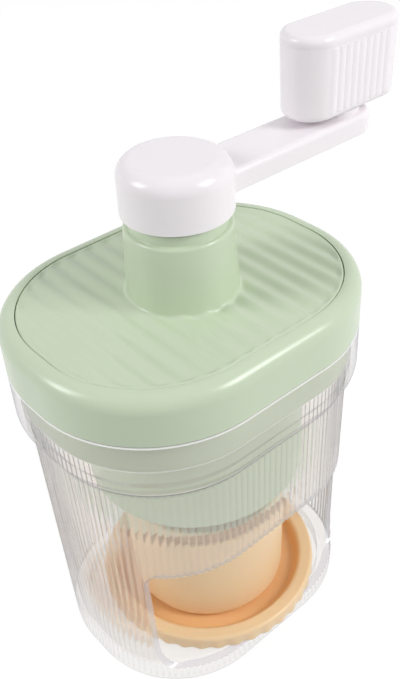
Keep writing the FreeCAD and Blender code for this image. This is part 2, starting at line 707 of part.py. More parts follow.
def make_knob_body():
    body = new_body("knob_body")
    outside = new_sketch(body, level=KNOB_BOTTOM)
    draw_obround(outside, KNOB_FOOT_LENGTH, KNOB_FOOT_WIDTH)
    drafted_pad(body, outside, KNOB_SEAM + " - " + KNOB_BOTTOM)
    round_edges(body, "knob_round", edges_at(KNOB_BOTTOM))
    start = "-(knob_ribs - 1) / 2 * knob_rib_pitch"
    offset = "(%s / 2 + knob_rib_rise - knob_rib_radius)" % KNOB_FOOT_WIDTH
    rib = new_sketch(body, level=KNOB_BOTTOM + " + knob_round")
    draw_circle(rib, "knob_rib_radius", start, offset)
    draw_circle(rib, "knob_rib_radius", start, "-" + offset)
    ribs = [drafted_pad(body, rib, "knob_height - knob_cap_height - knob_round - knob_rib_end")]
    pattern = body.newObject("PartDesign::LinearPattern", "ribs")
    pattern.Originals = ribs
    pattern.Direction = ([item for item in body.Origin.OriginFeatures if item.Role == "X_Axis"][0], [""])
    pattern.setExpression("Length", sized("(knob_ribs - 1) * knob_rib_pitch"))
    pattern.setExpression("Occurrences", sized("knob_ribs"))
    body.Tip = pattern
    inside = new_sketch(body, level=KNOB_SEAM)
    draw_obround(inside, "(%s - 2 * knob_wall)" % KNOB_FOOT_LENGTH, "(%s - 2 * knob_wall)" % KNOB_FOOT_WIDTH)
    pocket(body, inside, "knob_height - knob_cap_height - knob_wall")
    bearing = new_sketch(body, level=KNOB_BOTTOM)
    draw_circle(bearing, "axle_head + axle_head_thickness")
    pad(body, bearing, "axle_length - end_float / 2")
    bore = new_sketch(body, level=KNOB_BOTTOM)
    draw_circle(bore, "axle_radius + running_gap")
    pocket(body, bore, "axle_length", upwards=True)
    shift(body, "arm_reach")


def drafted_pad(body, sketch, height):
    """A pad of the grip that grows wider upwards by the grip's draft."""
    feature = pad(body, sketch, height)
    feature.setExpression("TaperAngle", "atan(%s)" % sized("knob_draft / (knob_height - knob_cap_height)"))
    return feature


def make_knob_cap():
    body = new_body("knob_cap")
    top = new_sketch(body, level=KNOB_SEAM)
    draw_obround(top, "knob_length", "knob_width")
    pad(body, top, "knob_cap_height")
    round_edges(body, "knob_round", edges_at(KNOB_SEAM + " + knob_cap_height"))
    plug = new_sketch(body, level=KNOB_SEAM + " - knob_wall")
    slack = "2 * (knob_wall + hole_gap)"
    draw_obround(plug, "(%s - %s)" % (KNOB_FOOT_LENGTH, slack), "(%s - %s)" % (KNOB_FOOT_WIDTH, slack))
    pad(body, plug, "knob_wall")
    hollow = new_sketch(body, level=KNOB_SEAM + " - knob_wall")
    slack = "2 * (2 * knob_wall + hole_gap)"
    draw_obround(hollow, "(%s - %s)" % (KNOB_FOOT_LENGTH, slack), "(%s - %s)" % (KNOB_FOOT_WIDTH, slack))
    pocket(body, hollow, "knob_wall", upwards=True)
    shift(body, "arm_reach")


def make_knob_axle():
    body = new_body("knob_axle")
    foot = ARM_BOTTOM + " + axle_foot"
    head = AXLE_SHOULDER + " + axle_head_thickness"
    revolve(body, [("0", foot), ("axle_radius", foot), ("axle_radius", AXLE_SHOULDER),
                   ("axle_head", AXLE_SHOULDER), ("axle_head", head), ("0", head)])
    shift(body, "arm_reach")
    washer = make_ring("knob_washer", "axle_radius + hole_gap", "boss_radius - washer_margin",
                       BOSS_TOP, KNOB_BOTTOM)
    shift(washer, "arm_reach")


def make_pusher():
    body = new_body("pusher_disc")
    hub_top = PUSHER_TOP + " + pusher_hub"
    revolve(body, [("0", PUSHER_LEVEL), (PUSHER_RADIUS, PUSHER_LEVEL), (PUSHER_RADIUS, PUSHER_TOP),
                   ("pusher_hub_radius", PUSHER_TOP), ("pusher_hub_radius", hub_top), ("0", hub_top)])
    rib = new_sketch(body, level=PUSHER_TOP)
    near, far, half = "spring_radius + pusher_rib_start", PUSHER_RADIUS + " - pusher_rib", "pusher_rib / 2"
    draw_outline(rib, [(near, "-" + half), (far, "-" + half), (far, half), (near, half)])
    repeat_round(body, [pad(body, rib, "pusher_hub / 2")], "pusher_ribs")
    socket = new_sketch(body, level=hub_top)
    draw_square(socket, "(rod_side + hole_gap)")
    pocket(body, socket, "pusher_thickness + pusher_hub")
    hole = new_sketch(body, level=PUSHER_LEVEL)
    draw_circle(hole, "screw_radius + hole_gap", GRIPPER_CIRCLE)
    repeat_round(body, [pocket(body, hole, "pusher_thickness", upwards=True)], "3")

    rod = new_body("pusher_rod")
    section = new_sketch(rod, level=PUSHER_LEVEL)
    draw_square(section, "rod_side")
    pad(rod, section, ROD_TOP + " - " + PUSHER_LEVEL)


def make_gripper_plate():
    body = new_body("gripper_plate")
    bottom = "(%s - gripper_thickness)" % PUSHER_LEVEL
    revolve(body, [("0", bottom), ("gripper_radius", bottom),
                   ("gripper_radius", PUSHER_LEVEL), ("0", PUSHER_LEVEL)])
    tooth = new_sketch(body, "XZ_Plane")
    half = "tooth_width / 2"
    draw_outline(tooth, [("tooth_circle - " + half, bottom), ("tooth_circle", bottom + " - tooth_length"),
                         ("tooth_circle + " + half, bottom)])
    repeat_round(body, [pad(body, tooth, "gripper_thickness", Midplane=True)], "teeth")
    hole = new_sketch(body, level=bottom)
    draw_circle(hole, "screw_radius + hole_gap", GRIPPER_CIRCLE)
    repeat_round(body, [pocket(body, hole, "gripper_thickness", upwards=True)], "3")


def make_spring():
    body = new_body("pusher_spring")
    foot = PUSHER_TOP + " + wire_radius"
    wire = new_sketch(body, "XZ_Plane")
    slope, rise = "wire_radius / 2", "wire_radius * " + HALF_ROOT_THREE
    draw_outline(wire, [("spring_radius + wire_radius", foot),
                        ("spring_radius + " + slope, foot + " + " + rise),
                        ("spring_radius - " + slope, foot + " + " + rise),
                        ("spring_radius - wire_radius", foot),
                        ("spring_radius - " + slope, foot + " - " + rise),
                        ("spring_radius + " + slope, foot + " - " + rise)])
    coil = body.newObject("PartDesign::AdditiveHelix", "coil")
    coil.Profile = wire
    coil.ReferenceAxis = (wire, ["V_Axis"])
    coil.Mode = 2
    coil.setExpression("Height", sized("%s - wire_radius - (%s)" % (SEAT_BOTTOM, foot)))
    coil.setExpression("Turns", sized("spring_turns"))
    body.Tip = coil


def make_hopper():
    body = new_body("hopper")
    floor = "(hopper_bottom + hopper_floor)"
    revolve(body, [("0", "hopper_bottom"), (HOPPER_RADIUS, "hopper_bottom"), (HOPPER_RADIUS, HOPPER_TOP),
                   (HOPPER_BORE, HOPPER_TOP), (HOPPER_BORE, floor), ("0", floor)])
    round_edges(body, "hopper_round", edges_at("hopper_bottom"))
    slot = new_sketch(body, level="hopper_bottom")
    side = "slot_width / 2"
    draw_outline(slot, [("slot_start", "-" + side), (SLOT_END, "-" + side),
                        (SLOT_END, side), ("slot_start", side)])
    pocket(body, slot, "hopper_floor", upwards=True)
    near, far = HOPPER_BORE + " - skirt_gap", HOPPER_RADIUS + " + skirt_gap"
    foot, head = LUG_BOTTOM + " - skirt_gap", LUG_BOTTOM + " + lug_height + skirt_gap"
    above = HOPPER_TOP + " + skirt_gap"
    run = revolve(body, [(near, foot), (far, foot), (far, head), (near, head)], kind="Groove",
                  angle="lug_angle + lug_slack + twist_angle", turn="twist_angle / 2")
    entry = revolve(body, [(near, foot), (far, foot), (far, above), (near, above)], kind="Groove",
                    angle="lug_angle + lug_slack", turn="twist_angle")
    repeat_round(body, [run, entry], "lug_count")
    for spot in BLADE_SCREWS:
        hole = new_sketch(body, level="hopper_bottom")
        draw_circle(hole, "screw_radius + hole_gap", *spot)
        pocket(body, hole, "hopper_floor - screw_cover", upwards=True)


def make_blade():
    """A flat flange under the hopper's floor, with a lip bent up through the slot."""
    body = new_body("blade")
    under = "(hopper_bottom - blade_thickness)"
    edge = "(hopper_bottom + hopper_floor + blade_rise)"
    bend = "slot_width / 2 - blade_play"
    section = new_sketch(body, "YZ_Plane", level="slot_start + blade_play")
    draw_outline(section, [(bend + " + blade_flange", under), (bend + " + blade_flange", "hopper_bottom"),
                           (bend, "hopper_bottom"), ("-slot_width / 6", edge),
                           ("-slot_width / 6 - blade_thickness", edge + " - blade_thickness / 3"),
                           (bend + " - blade_thickness / 2", under)])
    pad(body, section, SLOT_END + " - slot_start - 2 * blade_play")
    for spot in BLADE_SCREWS:
        hole = new_sketch(body, level=under)
        draw_circle(hole, "screw_radius + hole_gap", *spot)
        pocket(body, hole, "blade_thickness", upwards=True)


def make_ice_cup():
    body = new_body("ice_cup")
    top = CUP_BOTTOM + " + cup_height"
    inner_floor = CUP_BOTTOM + " + cup_wall"
    revolve(body, [("0", CUP_BOTTOM), ("cup_foot_radius", CUP_BOTTOM), ("cup_rim_radius", top), ("0", top)])
    round_edges(body, "cup_round", edges_at(CUP_BOTTOM))
    revolve(body, [("0", inner_floor), ("cup_foot_radius - cup_wall - cup_round / 2", inner_floor),
                   ("cup_foot_radius - cup_wall", inner_floor + " + cup_round / 2"),
                   ("cup_rim_radius - cup_wall", top), ("0", top)], kind="Groove")
    shift(body, "0", "-dish_forward")


def make_serving_dish():
    body = new_body("serving_dish")
    under_rim = DISH_TOP + " - dish_wall"
    skirt = "(%s - dish_skirt)" % DISH_TOP
    inner_rim, inner_skirt = DISH_RADIUS + " - dish_rim", DISH_RADIUS + " - dish_wall"
    revolve(body, [("0", "shelf_level"), (DISH_FOOT, "shelf_level"), (inner_rim + " + dish_wall", under_rim),
                   (inner_skirt, under_rim), (inner_skirt, skirt), (DISH_RADIUS, skirt),
                   (DISH_RADIUS, DISH_TOP), (inner_rim, DISH_TOP), (inner_rim + " - dish_wall", CUP_BOTTOM),
                   ("0", CUP_BOTTOM)])
    flute = new_sketch(body, level=skirt)
    draw_circle(flute, "scallop_radius", DISH_RADIUS + " + scallop_radius - scallop_depth")
    cut = pocket(body, flute, "dish_skirt - dish_wall / 2", upwards=True)
    repeat_round(body, [cut], "scallops")
    shift(body, "0", "-dish_forward")


def circle_spots(radius):
    """Three spots round the axis, the first along +X."""
    side = "%s * %s" % (radius, HALF_ROOT_THREE)
    return [(radius, "0"), ("-%s / 2" % radius, side), ("-%s / 2" % radius, "-" + side)]


make_clear_body()
make_lid_shell()
make_lid_panel()
make_screws("panel_screws", PANEL_SCREWS, WEB_BOTTOM + " - screw_head",
            "web_thickness + panel_thickness - screw_cover - hole_gap")
make_bush("upper_bush", NECK_TOP, "+")
make_bush("lower_bush", LOWER_SEAT, "-")
make_ring("thrust_washer", "tube_radius + 2 * running_gap", "bush_flange_radius - washer_margin",
          NECK_TOP + " + bush_flange", DRIVE_BOTTOM)
make_drive_tube()
make_screws("hub_screws", circle_spots("hub_screw_circle"), DRIVE_BOTTOM,
            "drive_flange - screw_head + hub_screw_bite")
make_retaining_clip()
make_ring("spring_seat", "tube_radius + 2 * running_gap", "seat_radius", SEAT_BOTTOM, SEAT_TOP)
make_spring()
make_crank_handle()
make_knob_body()
make_knob_cap()
make_knob_axle()
make_pusher()
make_gripper_plate()
make_screws("gripper_screws", circle_spots(GRIPPER_CIRCLE),
            PUSHER_LEVEL + " - gripper_thickness - screw_head",
            "gripper_thickness + pusher_thickness - gripper_screw_cover")
make_hopper()
make_blade()
make_screws("blade_screws", BLADE_SCREWS, "hopper_bottom - blade_thickness - screw_head",
            "blade_thickness + hopper_floor - screw_cover - hole_gap")
make_ice_cup()
make_serving_dish()


def write_parts():
    """Check every object, then write each finished piece to its own STEP file."""
    doc.recompute()
    failed = [item.Name for item in doc.Objects if "Invalid" in item.State or "Error" in item.State]
    if failed:
        raise RuntimeError("objects that failed: " + ", ".join(failed))
    used = {piece.Name for item in doc.Objects if item.TypeId == "Part::MultiFuse" for piece in item.Shapes}
    kinds = ("PartDesign::Body", "Part::MultiFuse", "Part::Feature")
    pieces = [item for item in doc.Objects if item.TypeId in kinds and item.Name not in used]
    for piece in pieces:
        if piece.Shape.isNull() or not piece.Shape.isValid() or not piece.Shape.Solids:
            raise RuntimeError("no good shape for " + piece.Label)
    os.makedirs("parts", exist_ok=True)
    for piece in pieces:
        piece.Shape.exportStep("parts/%s.step" % piece.Label)
        box = piece.Shape.BoundBox
        print("%-16s %2d solids %9.1f mm3  z %6.1f to %6.1f" % (
            piece.Label, len(piece.Shape.Solids), piece.Shape.Volume, box.ZMin, box.ZMax))


write_parts()
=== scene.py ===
"""Dresses a hand cranked ice shaver: fluted clear body, sage lid, white crank, apricot cup and dish."""
import math

import bmesh
import bpy
from mathutils import Matrix, Vector


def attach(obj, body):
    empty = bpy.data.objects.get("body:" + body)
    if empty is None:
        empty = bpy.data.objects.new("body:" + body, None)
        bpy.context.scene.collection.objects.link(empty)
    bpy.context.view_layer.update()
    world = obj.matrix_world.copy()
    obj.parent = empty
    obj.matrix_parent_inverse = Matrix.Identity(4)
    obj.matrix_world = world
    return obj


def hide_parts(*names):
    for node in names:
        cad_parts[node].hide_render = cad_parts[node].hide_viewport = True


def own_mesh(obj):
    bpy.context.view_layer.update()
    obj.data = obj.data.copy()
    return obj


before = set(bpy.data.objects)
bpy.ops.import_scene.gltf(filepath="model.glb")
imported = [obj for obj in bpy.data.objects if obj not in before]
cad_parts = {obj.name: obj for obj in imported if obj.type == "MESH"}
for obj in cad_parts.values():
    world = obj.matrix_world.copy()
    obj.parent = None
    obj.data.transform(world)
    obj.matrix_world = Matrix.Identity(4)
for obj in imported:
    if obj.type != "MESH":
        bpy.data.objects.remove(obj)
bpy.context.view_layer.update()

bl_info = {
    "name": "Hand cranked ice shaver",
    "version": (1, 0, 0),
    "blender": (4, 5, 0),
    "location": "View3D > Sidebar > Ice shaver",
    "description": "Builds the looks of a countertop ice shaver round its packed frame",
    "category": "Object",
}

MM = 0.001
FULL_TURN = 2 * math.pi
QUARTER_TURN = math.pi / 2
MERGE_DISTANCE = 0.001 * MM
TINY = 1e-9

# All the sizes below are in millimetres, unless a comment says otherwise, and all heights are from the table.

# The oblong that the body, lid and panel share: a rectangle with these half sides, grown by the radius.
CORNER_ACROSS = 16.5
CORNER_ALONG = 4.5
CORNER_RADIUS = 43.5

# Flutes on a short side, in a corner and on a long side, and how finely each is drawn.
FLUTES_SHORT = 4
FLUTES_CORNER = 25
FLUTES_LONG = 13
FLUTES_ROUND = 2 * FLUTES_SHORT + 4 * FLUTES_CORNER + 2 * FLUTES_LONG
STEPS_PER_FLUTE = 6
STEPS_ROUND = FLUTES_ROUND * STEPS_PER_FLUTE

# The panel's flat underside, and the lid's lower edge.
PANEL_BOTTOM = 143.2
LID_BOTTOM = 129.3

LATHE_STEPS = 160
ROUND_SEGMENTS = 5

# Edges that turn by more than this are drawn sharp, unless a piece says otherwise.
SHARP_DEGREES = 35.0


def length_prop(name, text, default):
    """A length, given in millimetres and kept in metres."""
    return bpy.props.FloatProperty(name=name, description=text, default=default * MM, unit="LENGTH",
                                   subtype="DISTANCE", precision=5)


def angle_prop(name, text, degrees):
    """An angle, given in degrees and kept in radians."""
    return bpy.props.FloatProperty(name=name, description=text, default=math.radians(degrees),
                                   subtype="ANGLE")


def pixel_prop(name, text, default):
    """A length in pixels of the picture."""
    return bpy.props.FloatProperty(name=name, description=text, default=default, subtype="PIXEL")


def count_prop(name, text, default, least):
    """A whole number."""
    return bpy.props.IntProperty(name=name, description=text, default=default, min=least, subtype="UNSIGNED")


def colour_prop(name, text, default):
    """A colour as six sRGB hex digits."""
    return bpy.props.StringProperty(name=name, description=text, default=default, maxlen=6)


class ShellSizes(bpy.types.PropertyGroup):
    flute_depth: length_prop("Flute depth", "How far each flute stands out of the wall", 0.42)
    wall: length_prop("Wall", "Thickness of the clear wall", 2.0)
    sill: length_prop("Sill", "Height of the opening's lower edge and of the floor", 9.3)
    opening_top: length_prop("Opening top", "Height of the opening's upper edge", 64.0)
    opening_depth: length_prop("Opening depth", "How far in front of the middle the opening ends", 27.5)
    opening_corner: length_prop("Opening corner", "Height of the rounding at its upper corners", 6.5)
    foot_corner: length_prop("Foot corner", "Height of the rounding at its lower corners", 11.5)
    corner_squash: bpy.props.FloatProperty(name="Corner squash", default=0.52, min=0.2, max=1.0,
                                           description="Depth of the roundings as a share of their height",
                                           subtype="FACTOR")
    colour: colour_prop("Clear plastic", "Tint of the clear plastic", "FDFCFB")
    # Painted shade: this lilac grey darkens the flute roots, the lines round the body and walls seen nearly
    # along themselves.
    painted_shade_colour: colour_prop("Clear plastic, slanting", "Tint where the wall slants away", "B4B1BC")
    cut_colour: colour_prop("Clear plastic, cut", "Tint of the opening's cut edge", "EBE8F0")


class LidSizes(bpy.types.PropertyGroup):
    wave_pitch: length_prop("Wave pitch", "From crest to crest of the panel's waves", 7.0)
    wave_depth: length_prop("Wave depth", "From crest to trough of the panel's waves", 0.75)
    wave_start: length_prop("Wave start", "X of one of the panel's crests", 1.75)
    colour: colour_prop("Sage plastic", "Colour of the lid, panel and chamber", "CAD8BD")


class CrankSizes(bpy.types.PropertyGroup):
    grip_round: length_prop("Grip rounding", "Rounding of the grip's ribs and seam", 0.22)
    colour: colour_prop("White plastic", "Colour of the crank and grip", "F5F0F3")


class CupSizes(bpy.types.PropertyGroup):
    level: length_prop("Floor level", "Height of the cup's underside", 10.9)
    height: length_prop("Height", "From the underside to the rim", 50.4)
    foot_radius: length_prop("Foot radius", "Outer radius at the underside", 29.9)
    rim_radius: length_prop("Rim radius", "Outer radius at the rim", 31.0)
    wall: length_prop("Wall", "Thickness of the cup's wall", 1.8)
    foot_round: length_prop("Foot round", "Rounding between the wall and the underside", 3.8)
    rim_round: length_prop("Rim round", "Rounding of the rim's two edges", 0.7)


class DishSizes(bpy.types.PropertyGroup):
    forward: length_prop("Forward", "How far the dish and cup stand in front of the middle", 3.0)
    level: length_prop("Foot level", "Height of the dish's underside", 9.3)
    rim_level: length_prop("Rim level", "Height of the top of the rim", 15.9)
    radius: length_prop("Radius", "Outer radius at the skirt", 43.0)
    recess_radius: length_prop("Recess radius", "Radius of the rim's inner edge", 37.2)
    wall: length_prop("Wall", "Thickness of the dish's wall", 1.6)
    lobes: count_prop("Lobes", "Lobes round the dish's skirt", 40, 8)
    lobe_depth: length_prop("Lobe depth", "From crest to valley of the lobes", 0.8)
    colour: colour_prop("Apricot plastic", "Colour of the cup and dish", "F7D5AB")
    # Painted shade: the dish's recess is drawn in this darker orange towards its floor.
    recess_shade_colour: colour_prop("Apricot plastic, deep", "Colour in the dish's recess", "F4C28B")


class SpringSizes(bpy.types.PropertyGroup):
    coil_radius: length_prop("Coil radius", "From the axis to the middle of the wire", 10.2)
    wire_radius: length_prop("Wire radius", "Half the wire's thickness", 0.7)
    low: length_prop("Low end", "Height of the spring's lower end at rest", 84.6)
    high: length_prop("High end", "Height of the spring's upper end, at its seat", 136.4)
    turns: count_prop("Turns", "Turns of the coil", 8, 2)
    travel: length_prop("Travel", "How far the pusher presses the spring together", 38.0)


class StageSizes(bpy.types.PropertyGroup):
    azimuth: angle_prop("Azimuth", "Camera's turn round the part, 0 from the front", -40.94)
    elevation: angle_prop("Elevation", "Camera's height angle", 37.21)
    roll: angle_prop("Roll", "Camera's turn about its own line of sight", 2.3)
    distance: length_prop("Distance", "From the camera to the point it is aimed round", 310.81)
    target_across: length_prop("Target across", "X of the point the camera is aimed round", 19.76)
    target_height: length_prop("Target height", "Height of the point the camera is aimed round", 114.51)
    focal: pixel_prop("Focal length", "Focal length in image pixels", 867.3)
    middle_across: pixel_prop("Middle across", "Principal point from the left", 231.3)
    middle_down: pixel_prop("Middle down", "Principal point from the top", 334.8)


class ShaverSizes(bpy.types.PropertyGroup):
    shell: bpy.props.PointerProperty(type=ShellSizes)
    lid: bpy.props.PointerProperty(type=LidSizes)
    crank: bpy.props.PointerProperty(type=CrankSizes)
    cup: bpy.props.PointerProperty(type=CupSizes)
    dish: bpy.props.PointerProperty(type=DishSizes)
    spring: bpy.props.PointerProperty(type=SpringSizes)
    stage: bpy.props.PointerProperty(type=StageSizes)


def sizes(context):
    """The sizes of all pieces, as the add-on keeps them in the scene."""
    return context.scene.ice_shaver


# ---------------------------------------------------------------- materials

WHITE = "FFFFFF"
MILK = "F8F8F6"

# A colour mix has its two colours at these inputs, and their mix at this output.
FIRST_COLOUR = 6
SECOND_COLOUR = 7
MIXED_COLOUR = 2

# Sizes of the patterns in the plastics and the steel, and how far light goes into plastic, in millimetres.
FLOW_MARK = 26.0
CLEAR_FLOW_MARK = 18.0
CLEAR_FLOW_DEPTH = 0.05
STREAK_DEPTH = 0.02
SCATTER_REACH = 3.0

PLASTIC_IOR = 1.49
# Only the outer face bends light, and the inner one doesn't bend it back, so this is under the 1.57 of SAN.
FLUTE_IOR = 1.17


def linear(text):
    """An sRGB hex colour as a linear RGBA tuple."""
    channels = [int(text[place:place + 2], 16) / 255 for place in (0, 2, 4)]
    return tuple(c / 12.92 if c <= 0.04045 else ((c + 0.055) / 1.055) ** 2.4 for c in channels) + (1.0,)


def add(tree, kind, settings=None, links=None):
    """Add a node. Settings go to its sockets, by name or number, or else to its properties. A link comes from
    a socket, or from a node's first output."""
    node = tree.nodes.new(kind)
    for name, value in (settings or {}).items():
        if isinstance(name, int) or name in node.inputs:
            node.inputs[name].default_value = value
        else:
            setattr(node, name, value)
    for name, source in (links or {}).items():
        output = source.outputs[0] if isinstance(source, bpy.types.Node) else source
        tree.links.new(output, node.inputs[name])
    return node


def new_material(name):
    """A material whose node tree is empty, and that tree."""
    material = bpy.data.materials.new(name)
    material.use_nodes = True
    material.node_tree.nodes.clear()
    return material, material.node_tree


def moulded(name, colour, roughness, grain_mm, grain_depth_mm, scatter=0.0, scatter_spread=None, mottle=0.02,
            recess_shade_colour=None):
    """Moulded or turned plastic: an even colour, a fine spark grain, and flow marks that lighten and darken
    it by the mottle. The scatter is the share of the light that goes into it, and the spread says how far
    red, green and blue go there. Where a mesh marks painted shade, the colour moves to the darker shade
    colour."""
    material, tree = new_material(name)
    place = add(tree, "ShaderNodeTexCoord").outputs["Object"]
    cloud = add(tree, "ShaderNodeTexNoise", {"Scale": 1 / (FLOW_MARK * MM), "Detail": 2.0}, {"Vector": place})
    tone = add(tree, "ShaderNodeMapRange", {"To Min": 1 - mottle, "To Max": 1 + mottle}, {"Value": cloud})
    tint = add(tree, "ShaderNodeVectorMath", {"operation": "SCALE", 0: linear(colour)[:3]}, {"Scale": tone})
    # Painted shade: where the mesh marks it, the colour moves to the darker shade colour.
    if recess_shade_colour:
        recess_shade = add(tree, "ShaderNodeAttribute", {"attribute_name": "recess_shade"}).outputs["Fac"]
        blend = add(tree, "ShaderNodeMix",
                    {"data_type": "RGBA", FIRST_COLOUR: linear(colour), SECOND_COLOUR: linear(recess_shade_colour)},
                    {"Factor": recess_shade})
        tree.links.new(blend.outputs[MIXED_COLOUR], tint.inputs[0])
    # A real grain of a tenth of a millimetre is too fine to show, so it is drawn several times as coarse.
    grain = add(tree, "ShaderNodeTexNoise", {"Scale": 1 / (grain_mm * MM), "Detail": 3.0}, {"Vector": place})
    polish = add(tree, "ShaderNodeMapRange", {"To Min": roughness - 0.04, "To Max": roughness + 0.04},
                 {"Value": cloud})
    bump = add(tree, "ShaderNodeBump", {"Strength": 0.35, "Distance": grain_depth_mm * MM}, {"Height": grain})
    settings = {"IOR": PLASTIC_IOR, "Subsurface Weight": scatter, "Subsurface Scale": SCATTER_REACH * MM}
    if scatter_spread:
        settings["Subsurface Radius"] = scatter_spread
    shader = add(tree, "ShaderNodeBsdfPrincipled", settings,
                 {"Base Color": tint, "Roughness": polish, "Normal": bump})
    add(tree, "ShaderNodeOutputMaterial", links={"Surface": shader})
    return material


def clear_san(name, colour, painted_shade_tint, haze, bend):
    """Clear SAN. The flutes smear part of what stands behind them sideways; painted shade turns the flute
    roots, the lines round the body and slanting walls lilac grey, painted highlight lines of white gloss
    brighten the thick rims, and a haze lifts what stands behind."""
    material, tree = new_material(name)
    place = add(tree, "ShaderNodeTexCoord").outputs["Object"]
    flow = add(tree, "ShaderNodeTexNoise", {"Scale": 1 / (CLEAR_FLOW_MARK * MM), "Detail": 1.0},
               {"Vector": place})
    bump = add(tree, "ShaderNodeBump", {"Strength": 0.15, "Distance": CLEAR_FLOW_DEPTH * MM},
               {"Height": flow})
    # Painted highlight: the mesh marks white lines on the thick rims.
    glow = add(tree, "ShaderNodeAttribute", {"attribute_name": "painted_highlight"}).outputs["Fac"]
    # Painted shade: the mesh marks the flute roots and the lilac grey lines round the body.
    painted_shade = add(tree, "ShaderNodeAttribute", {"attribute_name": "painted_shade"}).outputs["Fac"]
    slant = add(tree, "ShaderNodeLayerWeight", {"Blend": 0.5}).outputs["Facing"]
    flutes = add(tree, "ShaderNodeAttribute", {"attribute_name": "flutes"}).outputs["Fac"]
    # Only a wall seen nearly along itself takes the lilac painted shade.
    steep = add(tree, "ShaderNodeMath", {"operation": "POWER", 1: 7.0}, {0: slant})
    grey = add(tree, "ShaderNodeMath", {"operation": "ADD", "use_clamp": True}, {0: steep, 1: painted_shade})
    blend = add(tree, "ShaderNodeMix",
                {"data_type": "RGBA", FIRST_COLOUR: linear(colour), SECOND_COLOUR: linear(painted_shade_tint)},
                {"Factor": grey})
    tint = blend.outputs[MIXED_COLOUR]
    straight = add(tree, "ShaderNodeBsdfTransparent", links={"Color": tint})
    bent = add(tree, "ShaderNodeBsdfRefraction", {"Roughness": 0.04, "IOR": FLUTE_IOR},
               {"Color": tint, "Normal": bump})
    bent_share = add(tree, "ShaderNodeMapRange", {"To Max": bend}, {"Value": flutes})
    clear = add(tree, "ShaderNodeMixShader", links={0: bent_share, 1: straight, 2: bent})
    milk = add(tree, "ShaderNodeBsdfDiffuse", {"Color": linear(MILK)})
    hazed = add(tree, "ShaderNodeMixShader", {0: haze}, {1: clear, 2: milk})
    # Painted highlight: a white gloss, mixed in where the mesh marks it, draws bright lines on the thick
    # rims.
    rim = add(tree, "ShaderNodeBsdfGlossy", {"Color": linear(WHITE), "Roughness": 0.4})
    painted_highlight_share = add(tree, "ShaderNodeMapRange", {"To Max": 0.85}, {"Value": glow})
    body = add(tree, "ShaderNodeMixShader", links={0: painted_highlight_share, 1: hazed, 2: rim})
    # The shine grows from 4 percent, seen straight on, to 35 percent at a grazing view.
    grazing = add(tree, "ShaderNodeMath", {"operation": "POWER", 1: 5.0}, {0: slant})
    gloss_share = add(tree, "ShaderNodeMapRange", {"To Min": 0.04, "To Max": 0.35}, {"Value": grazing})
    gloss = add(tree, "ShaderNodeBsdfGlossy", {"Color": linear(WHITE), "Roughness": 0.05}, {"Normal": bump})
    glossed = add(tree, "ShaderNodeMixShader", links={0: gloss_share, 1: body, 2: gloss})
    add(tree, "ShaderNodeOutputMaterial", links={"Surface": glossed})
    return material


def drawn_steel(name, colour, roughness, grain_mm):
    """Steel, rolled or drawn: a dull shine with soft streaks, squeezed to a twelfth along Z."""
    material, tree = new_material(name)
    place = add(tree, "ShaderNodeTexCoord").outputs["Object"]
    squeeze = add(tree, "ShaderNodeMapping", {"Scale": (1.0, 1.0, 12.0)}, {"Vector": place})
    # Real streaks of a few hundredths of a millimetre are too fine to show, so they are drawn far coarser.
    streak = add(tree, "ShaderNodeTexNoise", {"Scale": 1 / (grain_mm * MM), "Detail": 4.0},
                 {"Vector": squeeze})
    polish = add(tree, "ShaderNodeMapRange", {"To Min": roughness - 0.07, "To Max": roughness + 0.1},
                 {"Value": streak})
    bump = add(tree, "ShaderNodeBump", {"Strength": 0.2, "Distance": STREAK_DEPTH * MM}, {"Height": streak})
    shader = add(tree, "ShaderNodeBsdfPrincipled", {"Base Color": linear(colour), "Metallic": 1.0},
                 {"Roughness": polish, "Normal": bump})
    add(tree, "ShaderNodeOutputMaterial", links={"Surface": shader})
    return material


def paint(node, material):
    """Give a carried-over node its material."""
    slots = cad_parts[node].data.materials
    slots.clear()
    slots.append(material)


# ---------------------------------------------------------------- meshes

def oblong_point(flute, inset, rise=0.0):
    """A point of the shared oblong, in metres, at a count of flutes round from +X, in the plane z=0."""
    radius = CORNER_RADIUS - inset + rise
    runs = ((FLUTES_SHORT / 2, "side", 0), (FLUTES_CORNER, "corner", 0), (FLUTES_LONG, "side", 1),
            (FLUTES_CORNER, "corner", 1), (FLUTES_SHORT, "side", 2), (FLUTES_CORNER, "corner", 2),
            (FLUTES_LONG, "side", 3), (FLUTES_CORNER, "corner", 3), (FLUTES_SHORT / 2, "side", 4))
    centres = ((1, 1), (-1, 1), (-1, -1), (1, -1))
    left = flute
    for count, kind, turn in runs:
        if left <= count + TINY:
            break
        left -= count
    share = left / count
    if kind == "corner":
        angle = (turn + share) * QUARTER_TURN
        side_x, side_y = centres[turn]
        x = side_x * CORNER_ACROSS + radius * math.cos(angle)
        y = side_y * CORNER_ALONG + radius * math.sin(angle)
        return Vector((x, y, 0)) * MM
    angle = turn * QUARTER_TURN
    out = Vector((math.cos(angle), math.sin(angle), 0))
    along = Vector((-out.y, out.x, 0))
    half = CORNER_ALONG if turn % 2 == 0 else CORNER_ACROSS
    reach = (CORNER_ACROSS if turn % 2 == 0 else CORNER_ALONG) + radius
    if turn == 0:
        step = share * half
    elif turn == 4:
        step = (share - 1) * half
    else:
        step = (2 * share - 1) * half
    return (out * reach + along * step) * MM


